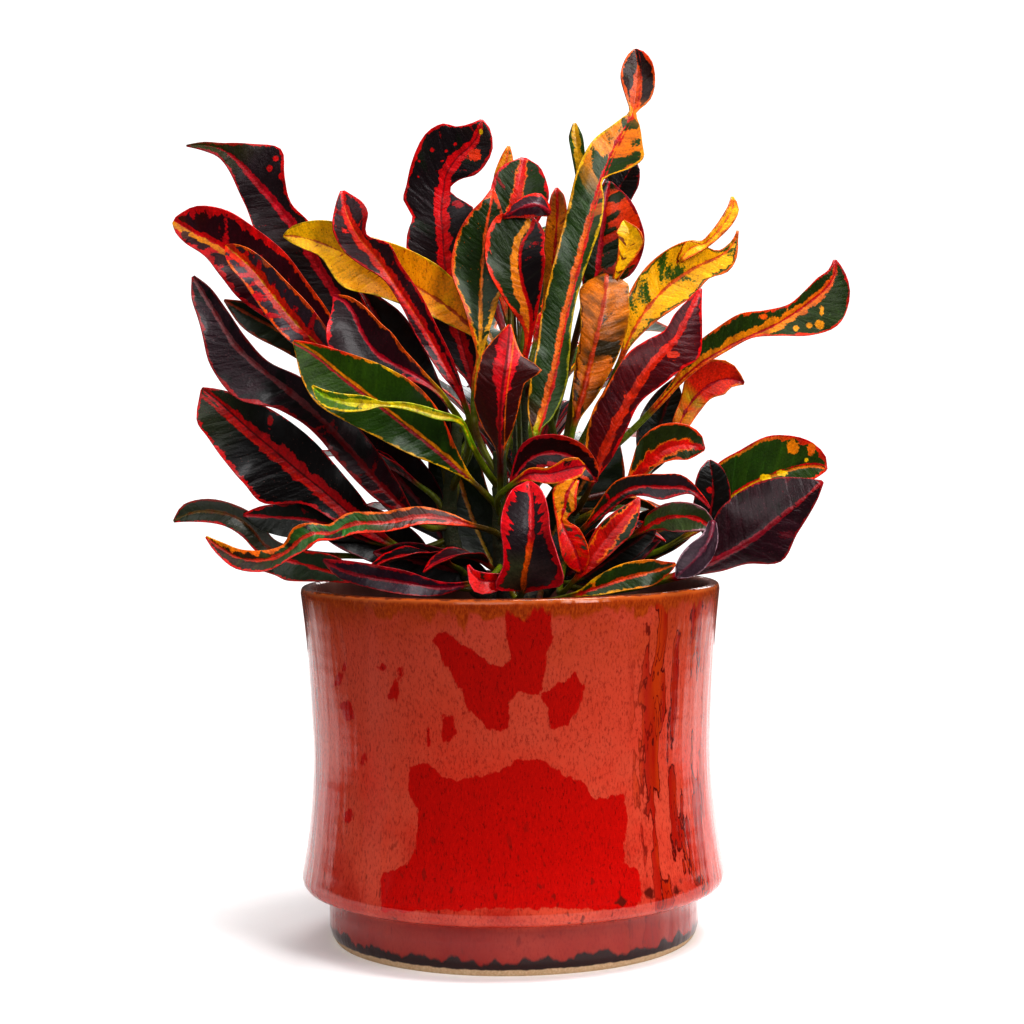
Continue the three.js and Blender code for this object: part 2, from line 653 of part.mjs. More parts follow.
// Leaves inside the crown and behind it: branch, direction from +X in degrees, height where the stalk
// leaves the stem, reach, tip height, half width, and 1 where the blade has a narrow waist.
const ARCHED_LEAVES = [
    ['rear_1', 'rear', 90, 190, 70, 258, 9, 0],
    ['rear_2', 'rear', 60, 185, 60, 246, 9.5, 1],
    ['rear_3', 'rear', 118, 188, 66, 250, 9.5, 0],
    ['rear_4', 'rear', 35, 170, 76, 217, 10, 0],
    ['rear_5', 'rear', 145, 168, 78, 217, 10.5, 0],
    ['rear_6', 'rear', 75, 165, 84, 212, 10.5, 0],
    ['rear_7', 'rear', 105, 168, 86, 222, 10.5, 1],
    ['rear_8', 'rear', 14, 160, 66, 200, 9.5, 0],
    ['rear_9', 'rear', 165, 160, 76, 204, 9.5, 1],
    ['rear_10', 'rear', 50, 150, 84, 176, 10.5, 0],
    ['rear_11', 'rear', 130, 150, 86, 182, 10.5, 0],
    ['rear_12', 'rear', 90, 145, 88, 168, 10.5, 1],
    ['rear_13', 'rear', 30, 138, 76, 146, 9.5, 0],
    ['rear_14', 'rear', 150, 138, 80, 148, 9.5, 0],
    ['rear_15', 'rear', 68, 130, 76, 138, 9.5, 0],
    ['rear_16', 'rear', 110, 130, 78, 140, 9.5, 1],
    ['rear_17', 'rear', 75, 196, 40, 256, 7.5, 0],
    ['rear_18', 'rear', 125, 194, 44, 256, 7.5, 0],
    ['rear_19', 'rear', 125, 130, 40, 196, 11, 0],
    ['rear_20', 'rear', 55, 130, 42, 190, 11, 0],
    ['rear_21', 'rear', 90, 128, 38, 186, 11, 0],
    ['inner_1', 'left', 176, 150, 58, 170, 10, 0],
    ['inner_2', 'left', 215, 128, 44, 133, 8, 0],
    ['inner_3', 'left', 160, 165, 52, 200, 9, 0],
    ['inner_4', 'right', 335, 132, 40, 142, 8.5, 0],
    ['inner_5', 'right', 352, 146, 34, 150, 7.5, 0],
    ['inner_6', 'centre', 215, 128, 34, 133, 7.5, 0],
];
const ARCH_PLAIN = [0.12, 0.55, 0.9, 1, 0.88, 0.55, 0.06];
const ARCH_WAISTED = [0.12, 0.7, 1, 0.45, 0.85, 0.75, 0.06];
const ARCH_BLADE_START = 0.24;
const ARCH_LIFT = 12;
const ARCH_FOLD = 16;

const COLOURS = {
    planter: { color: 0xa8341c, roughness: 0.12, metalness: 0 },
    potting_soil: { color: 0x2a1c14, roughness: 0.95, metalness: 0 },
    front_croton: { color: 0x5b3230, roughness: 0.38, metalness: 0 },
    rear_croton: { color: 0x49402a, roughness: 0.4, metalness: 0 },
};

function vec(p) {
    return new THREE.Vector3(p[0], p[1], p[2]);
}

function lathe(profile, sides) {
    const points = profile.map(([r, z]) => new THREE.Vector2(r, z));
    const geometry = new THREE.LatheGeometry(points, sides);
    geometry.rotateX(Math.PI / 2);
    return geometry;
}

function planterGeometry() {
    const lipInside = RIM_RADIUS - WALL;
    const profile = [
        [0, 0],
        ...BODY,
        [RIM_RADIUS, RIM_HEIGHT - LIP_ROUND],
        [RIM_RADIUS - 0.55, RIM_HEIGHT - 0.5],
        [RIM_RADIUS - LIP_ROUND, RIM_HEIGHT],
        [lipInside + LIP_ROUND, RIM_HEIGHT],
        [lipInside + 0.55, RIM_HEIGHT - 0.5],
        [lipInside, RIM_HEIGHT - LIP_ROUND],
        ...CAVITY.slice().reverse(),
        [0, FLOOR_HEIGHT],
    ];
    return lathe(profile, LATHE_SIDES);
}

function toManifold(geometry) {
    const bare = geometry.clone();
    bare.deleteAttribute('normal');
    bare.deleteAttribute('uv');
    const welded = mergeVertices(bare, 1e-4);
    return new wasm.Manifold(new wasm.Mesh({
        numProp: 3,
        vertProperties: new Float32Array(welded.attributes.position.array),
        triVerts: new Uint32Array(welded.index.array),
    }));
}

function toGeometry(solid) {
    const mesh = solid.getMesh();
    const geometry = new THREE.BufferGeometry();
    geometry.setAttribute('position', new THREE.BufferAttribute(new Float32Array(mesh.vertProperties), 3));
    geometry.setIndex(new THREE.BufferAttribute(new Uint32Array(mesh.triVerts), 1));
    geometry.computeVertexNormals();
    return geometry;
}

// A closed solid from rings of points, each ring running the same way round, with flat ends.
function solidFromRings(rings) {
    const count = rings[0].length;
    const points = rings.flat().flatMap((p) => [p.x, p.y, p.z]);
    const index = [];
    for (let i = 0; i < rings.length - 1; i++) {
        for (let j = 0; j < count; j++) {
            const a = i * count + j;
            const b = i * count + (j + 1) % count;
            index.push(a, b, a + count, b, b + count, a + count);
        }
    }
    const last = (rings.length - 1) * count;
    for (let j = 1; j < count - 1; j++) {
        index.push(0, j + 1, j, last, last + j, last + j + 1);
    }
    const geometry = new THREE.BufferGeometry();
    geometry.setAttribute('position', new THREE.BufferAttribute(new Float32Array(points), 3));
    geometry.setIndex(index);
    return toManifold(geometry);
}

// A round bar along a list of points, its radius running evenly from one end to the other.
function tube(points, radii, sides) {
    let across = new THREE.Vector3(1, 0, 0);
    const rings = points.map((p, i) => {
        const before = points[Math.max(i - 1, 0)];
        const after = points[Math.min(i + 1, points.length - 1)];
        const along = after.clone().sub(before).normalize();
        across = across.clone().addScaledVector(along, -across.dot(along)).normalize();
        const up = along.clone().cross(across);
        const radius = THREE.MathUtils.lerp(radii[0], radii[1], i / (points.length - 1));
        return Array.from({ length: sides }, (_, j) => {
            const turn = 2 * Math.PI * j / sides;
            return p.clone()
                .addScaledVector(across, radius * Math.cos(turn))
                .addScaledVector(up, radius * Math.sin(turn));
        });
    });
    return solidFromRings(rings);
}

function stemCurve(stem) {
    return new THREE.CatmullRomCurve3(stem.line.map(vec));
}

function stemSolid(stem, extra = 0) {
    const steps = 2 * (stem.line.length - 1);
    const radii = stem.radii.map((r) => r + extra);
    return tube(stemCurve(stem).getPoints(steps), radii, STEM_SIDES);
}

// The point of a stem's centre line at a height.
function stemAt(stem, height) {
    const points = stemCurve(stem).getPoints(60);
    return points.reduce((best, p) => (Math.abs(p.z - height) < Math.abs(best.z - height) ? p : best));
}

function stemTop(stem) {
    return stem.line[stem.line.length - 1][2];
}

// Moves a measured point along its line of sight to its own depth.
function placeRow([x, z, y, left, right, turn]) {
    const scale = (y - EYE[1]) / -EYE[1];
    return {
        point: new THREE.Vector3(EYE[0] + (x - EYE[0]) * scale, y, EYE[2] + (z - EYE[2]) * scale),
        left: left * scale,
        right: right * scale,
        turn,
    };
}

// Value of a smooth curve through four neighbouring values, between the middle two.
function smooth(a, b, c, d, f) {
    return b + 0.5 * f * (c - a + f * (2 * a - 5 * b + 4 * c - d + f * (3 * (b - c) + d - a)));
}

function blendRows(rows, i, f) {
    const four = [-1, 0, 1, 2].map((k) => rows[Math.min(Math.max(i + k, 0), rows.length - 1)]);
    const mix = (read) => smooth(...four.map(read), f);
    return {
        point: new THREE.Vector3(mix((r) => r.point.x), mix((r) => r.point.y), mix((r) => r.point.z)),
        left: mix((r) => r.left),
        right: mix((r) => r.right),
        turn: mix((r) => r.turn),
    };
}

// Every measured row, and rows between those that stand far apart.
function bladeSections(rows) {
    const sections = [];
    for (let i = 0; i < rows.length - 1; i++) {
        const span = rows[i].point.distanceTo(rows[i + 1].point);
        const steps = Math.max(1, Math.round(span / STEP_LENGTH));
        for (let k = 0; k < steps; k++) {
            sections.push(blendRows(rows, i, k / steps));
        }
    }
    sections.push(rows[rows.length - 1]);
    return sections;
}

function tangentAt(sections, i) {
    const before = sections[Math.max(i - 1, 0)].point;
    const after = sections[Math.min(i + 1, sections.length - 1)].point;
    return after.clone().sub(before).normalize();
}

function squareTo(direction, along) {
    return direction.clone().addScaledVector(along, -direction.dot(along)).normalize();
}

// Direction that each section faces. The blade turns about its midrib from its own facing direction, and the
// stalk carries on the direction of the foot of the blade without a twist.
function sectionNormals(sections, facing) {
    const normals = [];
    for (let i = sections.length - 1; i >= 0; i--) {
        const along = tangentAt(sections, i);
        if (sections[i].stalk) {
            normals[i] = squareTo(normals[i + 1], along);
        } else {
            normals[i] = squareTo(facing, along).applyAxisAngle(along, THREE.MathUtils.degToRad(sections[i].turn));
        }
    }
    return normals;
}

// Sideways reach and rise, at a share of a half blade that bends up by the fold angle.
function foldedReach(width, share, fold) {
    return {
        out: width * (Math.sin(fold / 2 + fold * share) - Math.sin(fold / 2)) / fold,
        up: width * (Math.cos(fold / 2) - Math.cos(fold / 2 + fold * share)) / fold,
    };
}

// The stalk leaves the stem and bends to the line of the blade.
function stalkSections(leaf) {
    if (!leaf.root) {
        return [];
    }
    const foot = leaf.rows[0].point;
    const along = leaf.rows[1].point.clone().sub(foot).normalize();
    const reach = foot.distanceTo(leaf.root);
    const bend = foot.clone().addScaledVector(along, -0.5 * reach);
    const curve = new THREE.QuadraticBezierCurve3(leaf.root, bend, foot);
    const points = curve.getPoints(Math.max(2, Math.round(reach / STALK_STEP_LENGTH)));
    points.pop();
    return points.map((point) => ({ point, left: STALK_RADIUS, right: STALK_RADIUS, turn: 0, stalk: true }));
}

// Half thickness of a leaf at a share v of its width. The stalk is round, and the midrib stands out below.
function halfThickness(section, v, below, share) {
    if (section.stalk) {
        return STALK_RADIUS * Math.max(STALK_EDGE, Math.sqrt(1 - v * v));
    }
    const rib = v === 0 && below ? RIB_RISE * (1 - share) : 0;
    return BLADE_THICKNESS / 2 + rib;
}

// Points over the middle surface of a leaf, one line of points for each section.
function leafGrid(leaf, sections, strips) {
    const fold = THREE.MathUtils.degToRad(leaf.fold);
    const normals = sectionNormals(sections, leaf.facing);
    let run = 0;
    return sections.map((section, i) => {
        if (i > 0 && !section.stalk) {
            run += section.point.distanceTo(sections[i - 1].point);
        }
        const side = tangentAt(sections, i).cross(normals[i]);
        const lift = leaf.under ? -1 : 1;
        return Array.from({ length: strips + 1 }, (_, j) => {
            const v = 2 * j / strips - 1;
            const width = v < 0 ? section.left : section.right;
            const { out, up } = foldedReach(width, Math.abs(v), fold);
            const phase = 2 * Math.PI * run / WAVE_LENGTH + leaf.wavePhase + (v < 0 ? WAVE_LAG : 0);
            const wave = section.stalk ? 0 : WAVE_SHARE * width * v * v * Math.sin(phase);
            return section.point.clone()
                .addScaledVector(side, Math.sign(v) * out)
                .addScaledVector(normals[i], lift * (up + wave));
        });
    });
}

// Direction square to the surface at a grid point, from the points around it.
function gridNormal(grid, i, j) {
    const rows = grid.length - 1;
    const columns = grid[0].length - 1;
    const along = grid[Math.min(i + 1, rows)][j].clone().sub(grid[Math.max(i - 1, 0)][j]);
    const across = grid[i][Math.min(j + 1, columns)].clone().sub(grid[i][Math.max(j - 1, 0)]);
    return across.cross(along).normalize();
}

// A leaf as one closed solid, from its root in the stem to its tip.
function leafSolid(leaf) {
    const sections = [...stalkSections(leaf), ...bladeSections(leaf.rows)];
    const widest = Math.max(...leaf.rows.map((r) => Math.max(r.left, r.right)));
    const strips = widest > BROAD && !leaf.plain ? STRIPS.broad : STRIPS.slim;
    const grid = leafGrid(leaf, sections, strips);
    const rings = grid.map((line, i) => {
        const offset = (j, sign) => {
            const below = sign > 0 === leaf.under;
            const half = halfThickness(sections[i], 2 * j / strips - 1, below, i / grid.length);
            return line[j].clone().addScaledVector(gridNormal(grid, i, j), sign * half);
        };
        const front = line.map((_, j) => offset(j, 1));
        const back = line.map((_, j) => offset(j, -1)).reverse();
        return [...front, ...back];
    });
    return solidFromStrips(rings);
}

// Rings of a leaf: both long faces take the same diagonal, so that they stay parallel.
function solidFromStrips(rings) {
    const count = rings[0].length;
    const strips = count / 2 - 1;
    const at = (i, j) => i * count + j;
    const index = [];
    for (let i = 0; i < rings.length - 1; i++) {
        for (let j = 0; j < count; j++) {
            const next = (j + 1) % count;
            const [a, b, c, d] = [at(i, j), at(i, next), at(i + 1, next), at(i + 1, j)];
            if (j < strips + 1) {
                index.push(a, b, c, a, c, d);
            } else {
                index.push(a, b, d, b, c, d);
            }
        }
    }
    for (const [i, flip] of [[0, true], [rings.length - 1, false]]) {
        for (let j = 0; j < strips; j++) {
            const [a, b, c, d] = [at(i, j), at(i, j + 1), at(i, count - 2 - j), at(i, count - 1 - j)];
            index.push(...(flip ? [a, c, b, a, d, c] : [a, b, c, a, c, d]));
        }
    }
    const geometry = new THREE.BufferGeometry();
    const points = rings.flat().flatMap((p) => [p.x, p.y, p.z]);
    geometry.setAttribute('position', new THREE.BufferAttribute(new Float32Array(points), 3));
    geometry.setIndex(index);
    return toManifold(geometry);
}

// The stalks leave a stem one above the other, in the order in which their leaves stand.
function setRoots(leaves) {
    for (const branch of Object.keys(BRANCHES)) {
        const stem = BRANCHES[branch];
        const stalked = leaves.filter((leaf) => leaf.branch === branch && !leaf.root && !LOBES.has(leaf.name));
        stalked.sort((a, b) => a.rows[0].point.z - b.rows[0].point.z);
        stalked.forEach((leaf, i) => {
            const share = (i + 0.5) / stalked.length;
            leaf.root = stemAt(stem, THREE.MathUtils.lerp(STALK_LOWEST, stemTop(stem) - STALK_BELOW_TIP, share));
        });
    }
}

function frontLeaf([name, branch, under, fold, rows], order) {
    return {
        name,
        branch,
        under: under === 1,
        fold,
        facing: new THREE.Vector3(0, -1, 0),
        rows: rows.map(placeRow),
        wavePhase: 2.4 * order,
        plain: CROWN_LEAVES.has(name),
    };
}

function archedLeaf([name, branch, direction, rootHeight, reach, tipHeight, width, waisted], order) {
    const root = stemAt(BRANCHES[branch], rootHeight);
    const angle = THREE.MathUtils.degToRad(direction);
    const outward = new THREE.Vector3(Math.cos(angle), Math.sin(angle), 0);
    const tip = root.clone().addScaledVector(outward, reach).setZ(tipHeight);
    const bend = root.clone().addScaledVector(outward, 0.4 * reach).setZ(Math.max(tipHeight, rootHeight) + ARCH_LIFT);
    const curve = new THREE.QuadraticBezierCurve3(root, bend, tip);
    const shares = waisted === 1 ? ARCH_WAISTED : ARCH_PLAIN;
    const rows = shares.map((share, i) => ({
        point: curve.getPoint(THREE.MathUtils.lerp(ARCH_BLADE_START, 1, i / (shares.length - 1))),
        left: width * share,
        right: width * share,
        turn: 0,
    }));
    const facing = new THREE.Vector3(0, 0, 0.6).addScaledVector(outward, -0.8);
    return { name, branch, under: false, fold: ARCH_FOLD, facing, rows, wavePhase: 1.7 * order, root, plain: true };
}

function allLeaves() {
    const leaves = [...FRONT_LEAVES.map(frontLeaf), ...ARCHED_LEAVES.map(archedLeaf)];
    setRoots(leaves);
    return leaves;
}

function plantGeometry(leaves, stems) {
    const solids = [
        ...stems.map((stem) => stemSolid(stem)),
        ...leaves.map(leafSolid),
    ];
    return toGeometry(wasm.Manifold.union(solids));
}

function soilGeometry() {
    const profile = [
        [0, FLOOR_HEIGHT + SOIL_GAP],
        ...CAVITY.map(([r, z]) => [r - SOIL_GAP, z + SOIL_GAP]),
        [SOIL_EDGE_RADIUS, SOIL_HEIGHT - 4],
        [SOIL_EDGE_RADIUS - 3, SOIL_HEIGHT],
        [0, SOIL_CROWN],
    ];
    const body = toManifold(lathe(profile, LATHE_SIDES));
    const holes = [FRONT_TRUNK, REAR_TRUNK].map((stem) => {
        const [x, y] = stem.line[0];
        const radius = stem.radii[0] + HOLE_GAP;
        const hole = new THREE.CylinderGeometry(radius, radius, HOLE_LENGTH, HOLE_SIDES);
        hole.rotateX(Math.PI / 2);
        hole.translate(x, y, ROOT_END - HOLE_GAP + HOLE_LENGTH / 2);
        return toManifold(hole);
    });
    return toGeometry(body.subtract(wasm.Manifold.union(holes)));
}

function node(name, geometry) {
    const mesh = new THREE.Mesh(geometry, new THREE.MeshStandardMaterial(COLOURS[name]));
    mesh.name = name;
    return mesh;
}

function pottedCroton() {
    const leaves = allLeaves();
    const front = leaves.filter((leaf) => leaf.branch !== 'rear');
    const rear = leaves.filter((leaf) => leaf.branch === 'rear');
    const group = new THREE.Group();
    group.name = 'potted_croton';
    group.add(
        node('planter', planterGeometry()),
        node('potting_soil', soilGeometry()),
        node('front_croton', plantGeometry(front, [FRONT_TRUNK, BRANCHES.centre, BRANCHES.left, BRANCHES.right])),
        node('rear_croton', plantGeometry(rear, [REAR_TRUNK])),
    );
    return group;
}

export default pottedCroton();
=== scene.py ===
"""A potted croton: the finished look of the planter, the soil and the plant. Millimetres are turned into
metres where a mesh is made. The front of the plant faces -Y and the planter stands on z = 0."""

import math

import bpy
import numpy as np
from mathutils import Matrix, Vector, noise


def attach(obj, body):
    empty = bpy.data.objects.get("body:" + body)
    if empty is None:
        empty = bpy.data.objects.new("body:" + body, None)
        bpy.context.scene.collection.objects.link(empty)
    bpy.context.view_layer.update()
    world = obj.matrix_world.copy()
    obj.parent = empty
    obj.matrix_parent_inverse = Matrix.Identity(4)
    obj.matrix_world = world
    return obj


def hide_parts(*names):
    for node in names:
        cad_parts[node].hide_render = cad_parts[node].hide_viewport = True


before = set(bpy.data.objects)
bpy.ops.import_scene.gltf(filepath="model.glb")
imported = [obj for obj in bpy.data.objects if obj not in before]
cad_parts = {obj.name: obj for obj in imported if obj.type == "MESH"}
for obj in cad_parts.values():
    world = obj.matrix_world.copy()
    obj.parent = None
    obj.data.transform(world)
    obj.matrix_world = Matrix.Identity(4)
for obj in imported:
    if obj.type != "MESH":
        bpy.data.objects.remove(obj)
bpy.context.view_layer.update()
MM = 0.001

# Camera, as the photo was taken: place, tilt down and roll in degrees, lens
EYE = (1.0, -788.0, 183.4)
PITCH = 2.29
ROLL = 0.7
LENS = 77.24

# Planter: radius and height along its section
RIM_HEIGHT = 126.5
FOOT = [(0, 0), (30, 0), (58, 0), (64.2, 0), (64.6, 0.4), (65.7, 2.2), (66.4, 5), (66.4, 11), (66.3, 16.6),
        (67.2, 17.0), (71.0, 17.6)]
BODY = [(71, 17.6), (74.6, 19.2), (76, 22.4), (75.3, 27), (73.5, 39), (72, 55), (71.45, 72), (72.9, 103),
        (75, 124.2)]
LIP = [(75, 124.2), (74.6, 125.9), (73.1, 126.5), (71.4, 126.0), (70.8, 124.2)]
CAVITY = [(70.8, 124.2), (68.7, 103), (67.2, 72), (69.3, 39), (71.1, 28), (70.4, 23.5)]
CAVITY_FLOOR = [(70.4, 23.5), (62.4, 19), (62, 13), (58, 9), (0, 9)]
PLANTER_SIDES = 192
BODY_STEP = 1.6
LIP_STEP = 0.5
CAVITY_STEP = 3
# Faint rings of the potter's fingers, between two heights, and how far the wall wanders
THROWING_RINGS = 0.015
RING_TURN = 1.1
RINGS_FROM = 26
RINGS_TO = 118
THROWN_WOBBLE = 0.25
WOBBLE_SCALE = 0.03
WOBBLE_RADIUS = 70

# Potting soil
SOIL_FLOOR = 9.4
SOIL_GAP = 0.4
SOIL_EDGE_RADIUS = 68.6
SOIL_HEIGHT = 113
SOIL_CROWN = 115
SOIL_SIDES = 160
SOIL_RINGS = 70
SOIL_CENTRE = 0.2
CRUMB = 1.1

# Stems: the centre line from the root end up, and the radius at both ends
STEMS = {
    "front_trunk": ([(0, -14, 62), (0, -14, 100), (0, -14, 122)], 5.2, 4.6),
    "centre": ([(0, -14, 116), (-2, -17, 130), (-3, -20, 150), (-3, -22, 174)], 4, 2.2),
    "left": ([(0, -14, 120), (-12, -9, 126), (-21, -3, 144), (-18, -2, 184)], 3.6, 2),
    "right": ([(0, -14, 120), (12, -11, 125), (22, -7, 142), (19, -7, 174)], 3.6, 2),
    "rear": ([(3, 30, 62), (3, 30, 119), (4, 27, 150), (5, 19, 205)], 4.6, 2.4),
}
STEM_SIDES = 24
STEM_STEPS = 26
STEM_SEARCH_STEPS = 20
SCAR_SPACING = 6.5
SCAR_RISE = 0.22
STEM_LUMPS = 0.14

# Leaf stalks and blades
STALK_RADIUS = 1.15
STALK_STEP = 24
STALK_LOWEST = 123
STALK_BELOW_TIP = 2
SECTION_STEP = 16
FINE_STEP = 1.9
NARROWEST_HALF = 0.2
HALF_THICKNESS = 0.38
MARGIN_THICKNESS = 0.2
RIB_RISE = 0.9
RIB_HALF_WIDTH = 0.8
RIB_GROOVE = 0.16
WAVE_LENGTH = 36
WAVE_SHARE = 0.1
WAVE_LAG = 1.9
RIPPLE_LENGTH = 10.5
RIPPLE = 0.3
# Half width from which the ripples have their full height
RIPPLED_WIDTH = 8
# Places of the lines of points across half a blade, as shares of its width
ACROSS = (0.05, 0.12, 0.21, 0.31, 0.42, 0.53, 0.64, 0.75, 0.85, 0.935, 0.985, 1.0)

